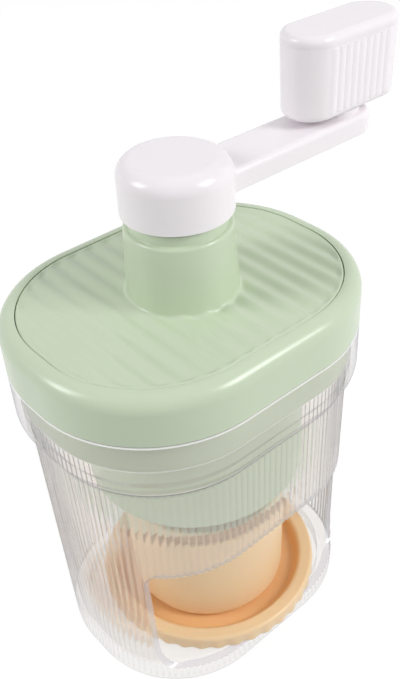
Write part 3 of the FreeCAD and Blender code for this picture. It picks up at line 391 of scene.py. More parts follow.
def place_on_oblong(point):
    """The inset of a point from the oblong, and its count of flutes round from +X, folded to one quarter."""
    x, y = point.x / MM, point.y / MM
    over_x, over_y = abs(x) - CORNER_ACROSS, abs(y) - CORNER_ALONG
    if over_x > 0 and over_y > 0:
        inset = CORNER_RADIUS - math.hypot(over_x, over_y)
        share = math.atan2(over_y, over_x) / QUARTER_TURN
        flute = FLUTES_SHORT / 2 + share * FLUTES_CORNER
    elif over_x > over_y:
        inset = CORNER_RADIUS - over_x
        flute = abs(y) / CORNER_ALONG * FLUTES_SHORT / 2
    else:
        inset = CORNER_RADIUS - over_y
        flute = FLUTES_SHORT / 2 + FLUTES_CORNER + (1 - abs(x) / CORNER_ACROSS) * FLUTES_LONG / 2
    return inset, flute


def ring_of(bm, count):
    """A closed ring of vertices in order, to be placed by its maker."""
    return bmesh.ops.create_circle(bm, cap_ends=False, segments=count, radius=1.0)["verts"]


def loop_edges(bm, ring):
    """The edges of a ring, in its order."""
    return [bm.edges.get((ring[place], ring[(place + 1) % len(ring)])) for place in range(len(ring))]


def next_ring(bm, ring):
    """Extrude a ring and give the new one in the same order."""
    made = bmesh.ops.extrude_edge_only(bm, edges=loop_edges(bm, ring))["geom"]
    fresh = {item for item in made if isinstance(item, bmesh.types.BMVert)}
    follow = []
    for vert in ring:
        others = (edge.other_vert(vert) for edge in vert.link_edges)
        follow.append(next(other for other in others if other in fresh))
    return follow


def place_ring(ring, spot):
    """Put each vertex of a ring at the spot that a function gives for its step."""
    for step, vert in enumerate(ring):
        vert.co = spot(step)


def raised(point, level):
    """A point of the plane z=0 lifted to a level in millimetres."""
    return point + Vector((0, 0, level * MM))


def close_up(bm):
    """Merge doubles and turn the faces outwards."""
    bmesh.ops.remove_doubles(bm, verts=bm.verts[:], dist=MERGE_DISTANCE)
    bmesh.ops.recalc_face_normals(bm, faces=bm.faces[:])


def scene_object(bm, name):
    """Put a bmesh into a new object of the scene."""
    mesh = bpy.data.meshes.new(name)
    bm.to_mesh(mesh)
    bm.free()
    made = bpy.data.objects.new(name, mesh)
    bpy.context.scene.collection.objects.link(made)
    return made


def finished_piece(bm, name, material, body, sharp_degrees=SHARP_DEGREES):
    """Close a bmesh into a smooth shaded object that rides on a body."""
    close_up(bm)
    for face in bm.faces:
        face.smooth = True
    for edge in bm.edges:
        if len(edge.link_faces) == 2:
            edge.smooth = edge.calc_face_angle(0.0) < math.radians(sharp_degrees)
    made = scene_object(bm, name)
    made.data.materials.append(material)
    shading = made.modifiers.new("flat faces lead", "WEIGHTED_NORMAL")
    shading.keep_sharp = True
    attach(made, body)
    return made


def lathe(bm, profile, steps):
    """Spin a profile of (radius, height, rounding) in millimetres round Z. It is closed unless it starts and
    ends on the axis."""
    verts = [bm.verts.new((radius * MM, 0, height * MM)) for radius, height, _ in profile]
    for pair in zip(verts, verts[1:]):
        bm.edges.new(pair)
    if profile[0][0] > 0 and profile[-1][0] > 0:
        bm.edges.new((verts[-1], verts[0]))
    for vert, (_, _, rounding) in zip(verts, profile):
        if rounding > 0:
            bmesh.ops.bevel(bm, geom=[vert], offset=rounding * MM, segments=ROUND_SEGMENTS, profile=0.5,
                            affect="VERTICES", material=-1, clamp_overlap=True)
    bmesh.ops.spin(bm, geom=bm.verts[:] + bm.edges[:], cent=(0, 0, 0), axis=(0, 0, 1), angle=FULL_TURN,
                   steps=steps, use_merge=True)


def cut_away(target, tool):
    """Cut a second object out of the first one's mesh, and drop the tool."""
    modifier = target.modifiers.new("cut", "BOOLEAN")
    modifier.operation = "DIFFERENCE"
    modifier.object = tool
    modifier.solver = "EXACT"
    view = bpy.context.evaluated_depsgraph_get()
    result = bpy.data.meshes.new_from_object(target.evaluated_get(view))
    target.modifiers.clear()
    target.data = result
    bpy.data.objects.remove(tool)


# ---------------------------------------------------------------- stage

# The picture's sides are in pixels, and the sensor's width in millimetres.
PICTURE_WIDTH = 400
PICTURE_HEIGHT = 679
SENSOR_WIDTH = 36.0

# These are in metres. A lamp has its azimuth and elevation in degrees, its side, and its power in watts.
NEAREST_SEEN = 0.01
FARTHEST_SEEN = 20
FLOOR_REACH = 3.0
LAMP_DISTANCE = 1.1
LAMP_AIM_HEIGHT = 0.12
LAMPS = (("left softbox", -118, 33, 0.40, 4.5), ("right softbox", 30, 34, 0.40, 6.4))


class ICESHAVER_OT_stage(bpy.types.Operator):
    """White sweep, soft lamps and the camera"""
    bl_idname = "ice_shaver.stage"
    bl_label = "Stage"

    def execute(self, context):
        make_camera(sizes(context).stage)
        make_floor()
        make_room()
        make_lamps()
        context.scene.view_settings.view_transform = "Standard"
        return {"FINISHED"}


def towards(azimuth, elevation):
    """The direction at an azimuth from the front and an elevation."""
    flat = math.cos(elevation)
    return Vector((math.sin(azimuth) * flat, -math.cos(azimuth) * flat, math.sin(elevation)))


def make_camera(stage):
    """The camera. Its principal point lies off the picture's middle, so it has a shift."""
    data = bpy.data.cameras.new("camera")
    camera = bpy.data.objects.new("camera", data)
    bpy.context.scene.collection.objects.link(camera)
    back = towards(stage.azimuth, stage.elevation)
    right = (-back).cross(Vector((0, 0, 1))).normalized()
    down = (-back).cross(right)
    rolled_right = right * math.cos(stage.roll) + down * math.sin(stage.roll)
    rolled_down = down * math.cos(stage.roll) - right * math.sin(stage.roll)
    place = Matrix((rolled_right, -rolled_down, back)).transposed().to_4x4()
    place.translation = Vector((stage.target_across, 0, stage.target_height)) + back * stage.distance
    camera.matrix_world = place
    data.sensor_width = SENSOR_WIDTH
    data.lens = stage.focal / PICTURE_HEIGHT * SENSOR_WIDTH
    data.shift_x = (PICTURE_WIDTH / 2 - stage.middle_across) / PICTURE_HEIGHT
    data.shift_y = (stage.middle_down - PICTURE_HEIGHT / 2) / PICTURE_HEIGHT
    data.clip_start = NEAREST_SEEN
    data.clip_end = FARTHEST_SEEN
    bpy.context.scene.camera = camera


def background_seen(tree):
    """1 for the rays that show the white background: straight, through clear plastic or off a gloss."""
    path = add(tree, "ShaderNodeLightPath")
    seen = path.outputs["Is Camera Ray"]
    for name in ("Is Transmission Ray", "Is Glossy Ray"):
        seen = add(tree, "ShaderNodeMath", {"operation": "MAXIMUM"}, {0: seen, 1: path.outputs[name]})
    return seen


def make_floor():
    """Sweep paper. Where it is seen it keeps a tenth of its own shade, and so of the part's shadow."""
    bm = bmesh.new()
    bmesh.ops.create_grid(bm, x_segments=2, y_segments=2, size=FLOOR_REACH)
    close_up(bm)
    floor = scene_object(bm, "floor")
    material, tree = new_material("white sweep paper")
    paper = add(tree, "ShaderNodeBsdfDiffuse", {"Color": linear("D6D6D6")})
    glow = add(tree, "ShaderNodeEmission", {"Color": linear(WHITE), "Strength": 1.06})
    amount = add(tree, "ShaderNodeMath", {"operation": "MULTIPLY", 1: 0.9}, {0: background_seen(tree)})
    mix = add(tree, "ShaderNodeMixShader", links={0: amount, 1: paper, 2: glow})
    add(tree, "ShaderNodeOutputMaterial", links={"Surface": mix})
    floor.data.materials.append(material)


def make_room():
    """An even pale room, seen as plain white."""
    world = bpy.data.worlds.new("white room")
    bpy.context.scene.world = world
    world.use_nodes = True
    tree = world.node_tree
    tree.nodes.clear()
    room = add(tree, "ShaderNodeBackground", {"Color": linear("F4F4F6"), "Strength": 0.51})
    wall = add(tree, "ShaderNodeBackground", {"Color": linear(WHITE), "Strength": 1.0})
    mix = add(tree, "ShaderNodeMixShader", links={0: background_seen(tree), 1: room, 2: wall})
    add(tree, "ShaderNodeOutputWorld", links={"Surface": mix})


def make_lamps():
    """Two square softboxes, aimed above the middle of the table."""
    for name, azimuth, elevation, side, power in LAMPS:
        data = bpy.data.lights.new(name, "AREA")
        data.shape = "SQUARE"
        data.size = side
        data.energy = power
        lamp = bpy.data.objects.new(name, data)
        place = towards(math.radians(azimuth), math.radians(elevation)) * LAMP_DISTANCE
        lamp.location = place + Vector((0, 0, LAMP_AIM_HEIGHT))
        lamp.rotation_euler = (-place).to_track_quat("-Z", "Y").to_euler()
        bpy.context.scene.collection.objects.link(lamp)


# ---------------------------------------------------------------- clear body

# The clear body's wall leans out from the base to the shoulder. An inset is how far in from the oblong it is.
BASE_INSET = 5.5
SHOULDER_INSET = 3.5
SHOULDER_LEVEL = 105.5
HOLLOW_INSET = 11.0
FOOT_INSET = 9.0
FOOT_ROUND = 3.5
FOOT_STEPS = 6
FLOOR_THICKNESS = 2.0
FLOOR_ROUND = 1.2
FLOOR_ROUND_MIDDLE = 0.35
WALL_MIDDLE = 64.0

# Rings of the fluted wall: height, and how much of the flutes' depth is there.
FLUTED_RINGS = ((3.6, 0), (5.0, 0.7), (6.5, 1), (36.0, 1), (WALL_MIDDLE, 1), (85.0, 1), (103.4, 1),
                (104.5, 0.75), (105.0, 0.25))

# The shoulder's outside, where the wall flares out to the collar: height and inset.
SHOULDER_CURVE = ((105.8, 3.12), (106.3, 2.75), (106.9, 2.43), (107.7, 2.02), (108.6, 1.57), (110.4, 0.65),
                  (111.1, 0.3), (111.9, 0.08), (112.8, 0))
SHOULDER_START = 105.4
SHOULDER_START_FLARE = 0.1

# The collar stops just short of the lid. Its rounded rim: depth below the rim's top, and inset.
RIM_GAP = 0.2
RIM_LEVEL = LID_BOTTOM - RIM_GAP
COLLAR_WALL = 2.2
RIM_CURVE = ((1.1, 0), (0.7, 0), (0.4, 0.05), (0.1, 0.25), (0.0, 0.5), (0.0, 1.7), (0.15, 2.05),
             (0.5, COLLAR_WALL))
SKIRT_END = 116.8
SKIRT_END_REACH = 0.5
COLLAR_FOOT = 112.5
COLLAR_BEND = (111.8, 2.35)
SHOULDER_INSIDE_HIGH = 107.2
SHOULDER_INSIDE_LOW = 106.3
SHOULDER_INSIDE_FLARE = 0.3

# Painted shade lines that run round the clear body, at the shoulder, under the rim and at the base: height,
# and how far each fades up and down.
PAINTED_SHADE_LINES = ((105.0, 0.7), (108.6, 1.4), (RIM_LEVEL, 0.3), (0.0, 0.6))
# Painted highlight lines on the shoulder and just under the rim, in the same columns.
PAINTED_HIGHLIGHT_LINES = ((106.5, 1.2), (RIM_LEVEL - 0.6, 0.5))
# Painted highlight on the inner wall where the lid's skirt ends.
INNER_PAINTED_HIGHLIGHT = 0.5
# Painted shade at the roots of the flutes.
ROOT_PAINTED_SHADE = 0.22
FLUTES_FROM = 3.6
FLUTES_TO = 104.6

# A vertex is on the outside if it lies this close to the wall's or the collar's outer face.
WALL_SLACK = 0.4
COLLAR_SLACK = 1.4
COLLAR_FROM = 107.0

# The block that cuts the opening reaches past the body at the front and at both ends.
WINDOW_REACH = 100.0
WINDOW_CORNER_STEPS = 10
CUT_EDGE_SLOT = 1


class ICESHAVER_OT_clear_shell(bpy.types.Operator):
    """The clear body with its upright flutes and the cut opening"""
    bl_idname = "ice_shaver.clear_shell"
    bl_label = "Clear body"

    def execute(self, context):
        shell = sizes(context).shell
        body = make_fluted_body(shell)
        cut_away(body, window_tool(shell))
        bm = bmesh.new()
        bm.from_mesh(body.data)
        bpy.data.objects.remove(body)
        paint_shell_shade_and_highlights(bm)
        # Polished SAN is clear and glossy, with a trace of milk; it carries the painted shade and painted
        # highlight lines that the mesh marks.
        polished = clear_san("clear SAN, polished mould", shell.colour, shell.painted_shade_colour, haze=0.10,
                             bend=0.55)
        made = finished_piece(bm, "clear_shell", polished, "body",
                              sharp_degrees=30.0)
        # The cut edge is seen through its whole thickness, so it is milkier and lilac.
        cut_edge = clear_san("clear SAN, cut edge", shell.cut_colour, shell.painted_shade_colour, haze=0.3, bend=0.3)
        made.data.materials.append(cut_edge)
        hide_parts("clear_body")
        return {"FINISHED"}


def wall_inset(level):
    """Inset of the clear wall's outside, which leans out upwards."""
    return BASE_INSET - (BASE_INSET - SHOULDER_INSET) * level / SHOULDER_LEVEL


def shell_outline(shell):
    """The clear body's section as (height, inset, share of the flutes): from the hollow under the foot up the
    outside, over the rim and down the inside to the floor."""
    wall = shell.wall / MM
    sill = shell.sill / MM
    outline = [(0.0, HOLLOW_INSET, 0), (0.0, FOOT_INSET, 0)]
    for step in range(1, FOOT_STEPS):
        angle = step / FOOT_STEPS * QUARTER_TURN
        level = FOOT_ROUND * (1 - math.cos(angle))
        outline.append((level, wall_inset(FOOT_ROUND) + FOOT_ROUND * (1 - math.sin(angle)), 0))
    outline += [(level, wall_inset(level), share) for level, share in sorted(FLUTED_RINGS + ((sill, 1),))]
    outline.append((SHOULDER_START, wall_inset(SHOULDER_START) - SHOULDER_START_FLARE, 0))
    outline += [(level, inset, 0) for level, inset in SHOULDER_CURVE]
    outline += [(RIM_LEVEL - drop, inset, 0) for drop, inset in RIM_CURVE]
    for level in (SKIRT_END + SKIRT_END_REACH, SKIRT_END, SKIRT_END - SKIRT_END_REACH, COLLAR_FOOT):
        outline.append((level, COLLAR_WALL, 0))
    outline.append((*COLLAR_BEND, 0))
    outline.append((SHOULDER_INSIDE_HIGH, SHOULDER_INSET + wall - SHOULDER_INSIDE_FLARE, 0))
    outline.append((SHOULDER_INSIDE_LOW, SHOULDER_INSET + wall, 0))
    outline.append((WALL_MIDDLE, wall_inset(WALL_MIDDLE) + wall, 0))
    inside = wall_inset(sill) + wall
    outline.append((sill + FLOOR_ROUND, inside, 0))
    outline.append((sill + FLOOR_ROUND_MIDDLE, inside + FLOOR_ROUND_MIDDLE, 0))
    outline.append((sill, inside + FLOOR_ROUND, 0))
    return outline


def make_fluted_body(shell):
    """The clear body before its opening is cut: a ring for each point of its section, then both floors."""
    depth = shell.flute_depth / MM
    bm = bmesh.new()
    ring = ring_of(bm, STEPS_ROUND)
    first = ring
    for index, (level, inset, share) in enumerate(shell_outline(shell)):
        if index:
            ring = next_ring(bm, ring)

        def spot(step):
            bulge = depth * abs(math.sin(math.pi * step / STEPS_PER_FLUTE)) * share
            return raised(oblong_point(step / STEPS_PER_FLUTE, inset, bulge - depth * share), level)
        place_ring(ring, spot)
    bm.faces.new(ring)
    recess = next_ring(bm, first)
    under = shell.sill / MM - FLOOR_THICKNESS
    place_ring(recess, lambda step: raised(oblong_point(step / STEPS_PER_FLUTE, HOLLOW_INSET), under))
    bm.faces.new(recess)
    close_up(bm)
    return scene_object(bm, "clear_shell_raw")


def window_tool(shell):
    """The block that cuts the front opening, rounded along its back corners."""
    bm = bmesh.new()
    back, low, high = -shell.opening_depth, shell.sill, shell.opening_top
    reach = WINDOW_REACH * MM
    edge = [(-reach, low)]
    lower = (low + shell.foot_corner, shell.foot_corner, -90)
    upper = (high - shell.opening_corner, shell.opening_corner, 0)
    for height, radius, start in (lower, upper):
        across = radius * shell.corner_squash
        middle = Vector((back - across, height))
        for step in range(WINDOW_CORNER_STEPS + 1):
            angle = math.radians(start + step * 90 / WINDOW_CORNER_STEPS)
            edge.append((middle.x + across * math.cos(angle), middle.y + radius * math.sin(angle)))
    edge.append((-reach, high))
    bm.faces.new([bm.verts.new((-reach, y, z)) for y, z in edge])
    made = bmesh.ops.extrude_face_region(bm, geom=bm.faces[:])["geom"]
    far = [item for item in made if isinstance(item, bmesh.types.BMVert)]
    bmesh.ops.translate(bm, verts=far, vec=(2 * reach, 0, 0))
    for face in bm.faces:
        face.material_index = CUT_EDGE_SLOT
    close_up(bm)
    return scene_object(bm, "window_tool")


def paint_shell_shade_and_highlights(bm):
    """Mark where painted shade darkens the plastic, at the roots of the flutes and in lines round the body,
    and where painted highlights brighten the thick rims and the inner wall at the skirt's end.
    """
    # This layer holds the painted shade.
    painted_shades = bm.verts.layers.float.new("painted_shade")
    # This layer holds the painted highlights.
    lights = bm.verts.layers.float.new("painted_highlight")
    flutes = bm.verts.layers.float.new("flutes")

    def line(level, middle, reach):
        return max(0.0, 1 - abs(level - middle) / reach)

    for vert in bm.verts:
        level = vert.co.z / MM
        inset, flute = place_on_oblong(vert.co)
        outside_ends = wall_inset(level) + WALL_SLACK if level < COLLAR_FROM else COLLAR_SLACK
        if inset >= outside_ends:
            # Painted highlight on the inner wall at the skirt's end.
            vert[lights] = line(level, SKIRT_END, SKIRT_END_REACH) * INNER_PAINTED_HIGHLIGHT
            continue
        # Painted shade darkens the flute roots.
        root = 1 - abs(math.sin(math.pi * flute))
        if FLUTES_FROM < level < FLUTES_TO:
            vert[painted_shades] = ROOT_PAINTED_SHADE * root * root
            vert[flutes] = 1.0
        # Painted shade lines run round the body.
        vert[painted_shades] = max(vert[painted_shades], *(line(level, *place) for place in PAINTED_SHADE_LINES))
        # Painted highlight lines run round the body.
        vert[lights] = max(line(level, *place) for place in PAINTED_HIGHLIGHT_LINES)


# ---------------------------------------------------------------- lid

# The lid's panel with its bearing post, and the ring under it that the chamber locks into.
PANEL_STEPS = 480
PANEL_RINGS = 44
PANEL_INSET = 6.0
PANEL_LEVEL = 146.0
PANEL_BOTTOM_CHAMFER = 0.15
PANEL_EDGE = ((143.35, 0.0), (145.3, 0.0), (145.65, 0.1), (145.85, 0.3))
PANEL_EDGE_ROUND = 0.65
WAVE_FADE_AT_EDGE = 1.6
WAVE_FADE_UP_POST = 3.0
POST_RADIUS = 18.5
POST_FOOT_ROUND = 1.3
POST_TAPER = ((18.2, 152.0), (17.75, 160.0))
POST_TOP = 169.4
POST_TOP_RADIUS = 17.36
POST_TOP_ROUND = 1.2
POST_TOP_ROUND_MIDDLE = 16.16
SPIGOT_FOOT_RADIUS = 15.95
SPIGOT_RADIUS = 15.8
SPIGOT_TOP = 172.6
SPIGOT_FOOT_RISE = 0.15
SPIGOT_CHAMFER_IN = 0.2
SPIGOT_CHAMFER_DOWN = 0.3
BORE_RADIUS = 7.62
BORE_BOTTOM = 140.4
BOSS_RADIUS = 9.8
BOSS_BOTTOM = 140.2
RING_BORE = 35.4
RING_RADIUS = 37.2
RING_BOTTOM = 134.2
RING_ROUND = 0.3


class ICESHAVER_OT_lid(bpy.types.Operator):
    """The lid, its waved panel with the bearing post, and the chamber"""
    bl_idname = "ice_shaver.lid"
    bl_label = "Lid"

    def execute(self, context):
        lid = sizes(context).lid
        # Polypropylene from a satin mould has a soft sheen, and a little light goes into it.
        sage = moulded("sage polypropylene, satin mould", lid.colour, roughness=0.25, grain_mm=0.5,
                       grain_depth_mm=0.012, scatter=0.08, scatter_spread=(1.0, 1.2, 0.8))
        waved = make_waved_panel(lid, sage)
        make_chamber_ring(sage)
        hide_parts("lid_panel")
        for node in ("lid_shell", "hopper"):
            paint(node, sage)
        return {"FINISHED"}


def post_outline():
    """The bearing post's section as (radius, height): up the outside, over the narrow spigot at the top and
    down the bore."""
    outline = []
    for degrees in (15, 30, 45, 60, 75, 90):
        angle = math.radians(degrees)
        outline.append((POST_RADIUS + POST_FOOT_ROUND * (1 - math.sin(angle)),
                        PANEL_LEVEL + POST_FOOT_ROUND * (1 - math.cos(angle))))
    outline += POST_TAPER
    outline.append((POST_TOP_RADIUS, POST_TOP - POST_TOP_ROUND))
    for degrees in (22, 45, 68, 90):
        angle = math.radians(degrees)
        outline.append((POST_TOP_ROUND_MIDDLE + POST_TOP_ROUND * math.cos(angle),
                        POST_TOP - POST_TOP_ROUND + POST_TOP_ROUND * math.sin(angle)))
    outline += [(SPIGOT_FOOT_RADIUS, POST_TOP), (SPIGOT_RADIUS, POST_TOP + SPIGOT_FOOT_RISE)]
    outline.append((SPIGOT_RADIUS, SPIGOT_TOP - SPIGOT_CHAMFER_DOWN))
    outline.append((SPIGOT_RADIUS - SPIGOT_CHAMFER_IN, SPIGOT_TOP))
    outline += [(BORE_RADIUS, SPIGOT_TOP), (BORE_RADIUS, BORE_BOTTOM)]
    outline += [(BOSS_RADIUS, BOSS_BOTTOM), (BOSS_RADIUS, PANEL_BOTTOM)]
    return outline


def make_waved_panel(lid, material):
    """Panel and post in one: rings run from the panel's edge to the post, up it, and down its bore."""
    bm = bmesh.new()
    foot = POST_RADIUS + POST_FOOT_ROUND

    def edge_point(step, inset):
        return oblong_point(step / PANEL_STEPS * FLUTES_ROUND, PANEL_INSET + inset)

    def round_point(step, radius):
        start = edge_point(step, 0.0)
        angle = math.atan2(start.y, start.x)
        return Vector((math.cos(angle), math.sin(angle), 0)) * radius * MM

    def fade(value, end):
        share = min(1.0, max(0.0, value / end))
        return share * share * (3 - 2 * share)

    def waved(point, level, trim):
        phase = (point.x - lid.wave_start) / lid.wave_pitch
        dip = -lid.wave_depth * trim * (0.5 - 0.5 * math.cos(FULL_TURN * phase))
        return point + Vector((0, 0, level * MM + dip))

    ring = ring_of(bm, PANEL_STEPS)
    first = ring
    place_ring(ring, lambda step: raised(edge_point(step, PANEL_BOTTOM_CHAMFER), PANEL_BOTTOM))
    for level, inset in PANEL_EDGE:
        ring = next_ring(bm, ring)
        place_ring(ring, lambda step: raised(edge_point(step, inset), level))
    for row in range(PANEL_RINGS + 1):
        ring = next_ring(bm, ring)

        def top(step):
            outer = edge_point(step, PANEL_EDGE_ROUND)
            inner = round_point(step, foot)
            from_edge = row * (outer - inner).length / MM / PANEL_RINGS
            trim = fade(from_edge, WAVE_FADE_AT_EDGE)
            return waved(outer.lerp(inner, row / PANEL_RINGS), PANEL_LEVEL, trim)
        place_ring(ring, top)
    for radius, level in post_outline():
        ring = next_ring(bm, ring)
        trim = 1 - fade(level - PANEL_LEVEL, WAVE_FADE_UP_POST)
        place_ring(ring, lambda step: waved(round_point(step, radius), level, trim))
    bmesh.ops.bridge_loops(bm, edges=loop_edges(bm, ring) + loop_edges(bm, first))
    return finished_piece(bm, "waved_panel", material, "lid", sharp_degrees=40.0)


def make_chamber_ring(material):
    """The ring under the panel that the chamber locks into."""
    bm = bmesh.new()
    lathe(bm, [(RING_BORE, PANEL_BOTTOM, 0), (RING_BORE, RING_BOTTOM, RING_ROUND),
               (RING_RADIUS, RING_BOTTOM, RING_ROUND), (RING_RADIUS, PANEL_BOTTOM, 0)], LATHE_STEPS)
    return finished_piece(bm, "chamber_ring", material, "lid", sharp_degrees=40.0)


# ---------------------------------------------------------------- crank

class ICESHAVER_OT_crank(bpy.types.Operator):
    """The white crank, its hub and the grip"""
    bl_idname = "ice_shaver.crank"
    bl_label = "Crank and grip"

    def execute(self, context):
        crank = sizes(context).crank
        # ABS from a satin mould is bright, and its shadows are soft, because light goes well into it.
        white = moulded("white ABS, satin mould", crank.colour, roughness=0.24, grain_mm=0.45,
                        grain_depth_mm=0.008, scatter=0.2, scatter_spread=(0.5, 0.45, 0.45), mottle=0.008)
        paint("crank_handle", white)
        for node, name in (("knob_body", "ribbed_grip"), ("knob_cap", "grip_top")):
            made = softened_copy(node, name, white, crank.grip_round)
            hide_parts(node)
        return {"FINISHED"}


def softened_copy(node, name, material, width):
    """A merged copy of a carried-over node, whose ribs and seam are rounded and so catch the light."""
    bm = bmesh.new()
    bm.from_mesh(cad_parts[node].data)
    made = finished_piece(bm, name, material, "knob")
    bevel = made.modifiers.new("soft edges", "BEVEL")
    bevel.width = width
    bevel.segments = 2
    bevel.limit_method = "ANGLE"
    bevel.angle_limit = math.radians(SHARP_DEGREES)
    # The weighted normals come last.
    made.modifiers.move(1, 0)
    return made


# ---------------------------------------------------------------- cup and dish

STEPS_PER_LOBE = 8
# The cup's foot is rounded by this much less on its inside.
FOOT_ROUND_LOSS = 0.8


class ICESHAVER_OT_cup_and_dish(bpy.types.Operator):
    """The apricot cup and the lobed dish under it"""
    bl_idname = "ice_shaver.cup_and_dish"
    bl_label = "Cup and dish"

    def execute(self, context):
        dish = sizes(context).dish
        # This polypropylene is duller than the lid's, and light that goes into it comes out warmer.
        # Its recess is darkened by painted shade.
        apricot = moulded("apricot polypropylene, satin mould", dish.colour, roughness=0.36, grain_mm=0.5,
                          grain_depth_mm=0.02, scatter=0.25, scatter_spread=(1.6, 0.9, 0.45), mottle=0.012,
                          recess_shade_colour=dish.recess_shade_colour)
        cup = make_cup(sizes(context).cup, dish, apricot)
        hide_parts("ice_cup")
        tray = make_dish(dish, apricot)
        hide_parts("serving_dish")
        return {"FINISHED"}


def make_cup(cup, dish, material):
    """A round cup that widens a little towards its rolled rim."""
    level, top = cup.level / MM, (cup.level + cup.height) / MM
    foot, rim, wall = cup.foot_radius / MM, cup.rim_radius / MM, cup.wall / MM
    foot_round, rim_round = cup.foot_round / MM, cup.rim_round / MM
    inner_foot_round = foot_round - FOOT_ROUND_LOSS
    profile = [(0, level, 0), (foot, level, foot_round), (rim, top, rim_round), (rim - wall, top, rim_round),
               (foot - wall, level + wall, inner_foot_round), (0, level + wall, 0)]
    bm = bmesh.new()
    lathe(bm, profile, LATHE_STEPS)
    bmesh.ops.translate(bm, verts=bm.verts[:], vec=(0, -dish.forward, 0))
    return finished_piece(bm, "round_cup", material, "cup", sharp_degrees=40.0)


def make_dish(dish, material):
    """A round dish with a flat rim, a recess for the cup and a skirt that hangs in soft lobes."""
    level, top, wall = dish.level / MM, dish.rim_level / MM, dish.wall / MM
    outer, recess, depth = dish.radius / MM, dish.recess_radius / MM, dish.lobe_depth / MM
    skirt_inside = outer - wall
    hem = level + 0.6
    lobe_top = top - 1.2
    foot_edge = (recess - 2.0, level, 1.0)
    under_rim = (recess + 1.2, top - wall, 0.8)
    skirt_root = (skirt_inside - 0.4, top - wall, 0.6)
    skirt_low = (outer - 0.1, level + 2.4, 0)
    skirt_high = (outer - 0.25, top - 1.7, 0.5)
    rim_edge = (outer - 0.6, top, 0.9)
    recess_edge = (recess, top, 1.4)
    recess_foot = (recess - 1.6, level + wall, 2.0)
    profile = [(0, level, 0), foot_edge, under_rim, skirt_root, (skirt_inside, hem, 0.2), (outer, hem, 0.5),
               skirt_low, skirt_high, rim_edge, recess_edge, recess_foot, (0, level + wall, 0)]
    bm = bmesh.new()
    lathe(bm, profile, dish.lobes * STEPS_PER_LOBE)
    # Painted shade: inside the rim, the colour darkens towards the recess floor over this reach.
    recess_shade = bm.verts.layers.float.new("recess_shade")
    recess_shade_from, recess_shade_reach = recess - 0.2, 3.0
    for vert in bm.verts:
        radius, height = math.hypot(vert.co.x, vert.co.y) / MM, vert.co.z / MM
        if radius < recess_shade_from:
            vert[recess_shade] = min(1.0, (top - height) / recess_shade_reach)
        if radius < skirt_inside + wall / 3:
            continue
        lobe = 0.5 - 0.5 * math.cos(dish.lobes * math.atan2(vert.co.y, vert.co.x))
        hang = min(1.0, max(0.0, (lobe_top - height) / (lobe_top - hem)))
        scale = 1 - depth * lobe * hang / radius
        vert.co.x *= scale
        vert.co.y *= scale
    bmesh.ops.translate(bm, verts=bm.verts[:], vec=(0, -dish.forward, 0))
    return finished_piece(bm, "lobed_dish", material, "dish", sharp_degrees=40.0)


# ---------------------------------------------------------------- works

STEPS_PER_COIL = 28
WIRE_SIDES = 10


class ICESHAVER_OT_works(bpy.types.Operator):
    """The spring, and the finishes of the parts inside: bushes, pusher, blade and screws"""
    bl_idname = "ice_shaver.works"
    bl_label = "Works"

    def execute(self, context):
        # Tumbled stainless steel has blunt edges and a dull, even shine.
        steel = drawn_steel("stainless steel, tumbled", "B4B4B2", roughness=0.30, grain_mm=0.8)
        # Drawn wire is darker, and its highlights are a little sharper.
        wire = drawn_steel("spring wire, drawn", "9A9A9A", roughness=0.28, grain_mm=0.5)
        make_spring(sizes(context).spring, wire)
        # Turned acetal is waxy and off-white.
        acetal = moulded("acetal, turned", "DEDBD2", roughness=0.38, grain_mm=0.7, grain_depth_mm=0.02)
        # Matt polypropylene has no clear highlights.
        pusher = moulded("white polypropylene, matt", "E4E4E1", roughness=0.45, grain_mm=0.6,
                         grain_depth_mm=0.03)
        finishes = {
            steel: ("panel_screws", "hub_screws", "retaining_clip", "thrust_washer", "knob_axle",
                    "pusher_rod", "gripper_plate", "gripper_screws", "blade", "blade_screws"),
            acetal: ("upper_bush", "lower_bush", "drive_tube", "spring_seat", "knob_washer"),
            pusher: ("pusher_disc",),
        }
        for material, nodes in finishes.items():
            for node in nodes:
                paint(node, material)
        return {"FINISHED"}


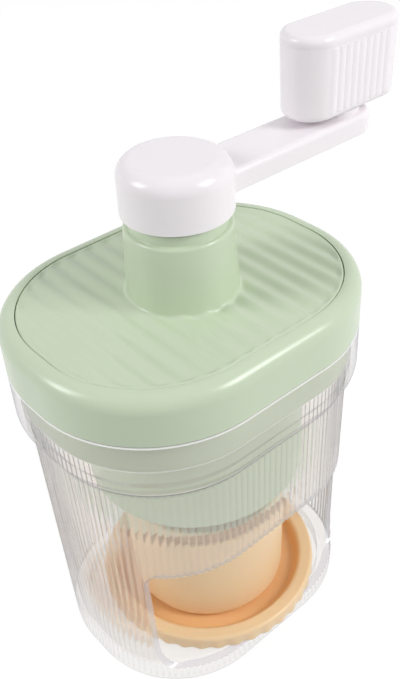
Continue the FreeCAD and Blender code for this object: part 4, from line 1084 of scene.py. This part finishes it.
def make_spring(spring, material):
    """A coil from its lower end up to its upper seat, as it stands at rest."""
    steps = spring.turns * STEPS_PER_COIL
    climb = spring.high - spring.low - 2 * spring.wire_radius
    bm = bmesh.new()
    wire = bmesh.ops.create_circle(bm, cap_ends=False, segments=WIRE_SIDES, radius=spring.wire_radius,
                                   matrix=Matrix.Rotation(QUARTER_TURN, 4, "X"))["verts"]
    start = (spring.coil_radius, 0, spring.low + spring.wire_radius)
    bmesh.ops.translate(bm, verts=wire, vec=start)
    bmesh.ops.spin(bm, geom=bm.verts[:] + bm.edges[:], cent=(0, 0, 0), axis=(0, 0, 1),
                   dvec=(0, 0, climb / steps), angle=FULL_TURN * spring.turns, steps=steps, use_merge=False)
    ends = [edge for edge in bm.edges if edge.is_boundary]
    bmesh.ops.holes_fill(bm, edges=ends, sides=0)
    made = finished_piece(bm, "coil_spring", material, "crank")
    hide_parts("pusher_spring")
    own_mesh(made)


# ---------------------------------------------------------------- add-on

class ICESHAVER_PT_panel(bpy.types.Panel):
    """Lists the steps that dress the ice shaver"""
    bl_label = "Ice shaver"
    bl_space_type = "VIEW_3D"
    bl_region_type = "UI"
    bl_category = "Ice shaver"

    def draw(self, context):
        for operator in OPERATORS:
            self.layout.operator(operator.bl_idname)


GROUPS = (ShellSizes, LidSizes, CrankSizes, CupSizes, DishSizes, SpringSizes, StageSizes, ShaverSizes)
OPERATORS = (ICESHAVER_OT_stage, ICESHAVER_OT_clear_shell, ICESHAVER_OT_lid, ICESHAVER_OT_crank,
             ICESHAVER_OT_cup_and_dish, ICESHAVER_OT_works)


def register():
    for item in GROUPS + OPERATORS + (ICESHAVER_PT_panel,):
        bpy.utils.register_class(item)
    bpy.types.Scene.ice_shaver = bpy.props.PointerProperty(type=ShaverSizes)


def unregister():
    del bpy.types.Scene.ice_shaver
    for item in reversed(GROUPS + OPERATORS + (ICESHAVER_PT_panel,)):
        bpy.utils.unregister_class(item)


def main():
    register()
    bpy.ops.ice_shaver.stage()
    bpy.ops.ice_shaver.clear_shell()
    bpy.ops.ice_shaver.lid()
    bpy.ops.ice_shaver.crank()
    bpy.ops.ice_shaver.cup_and_dish()
    bpy.ops.ice_shaver.works()


if __name__ == "__main__":
    main()
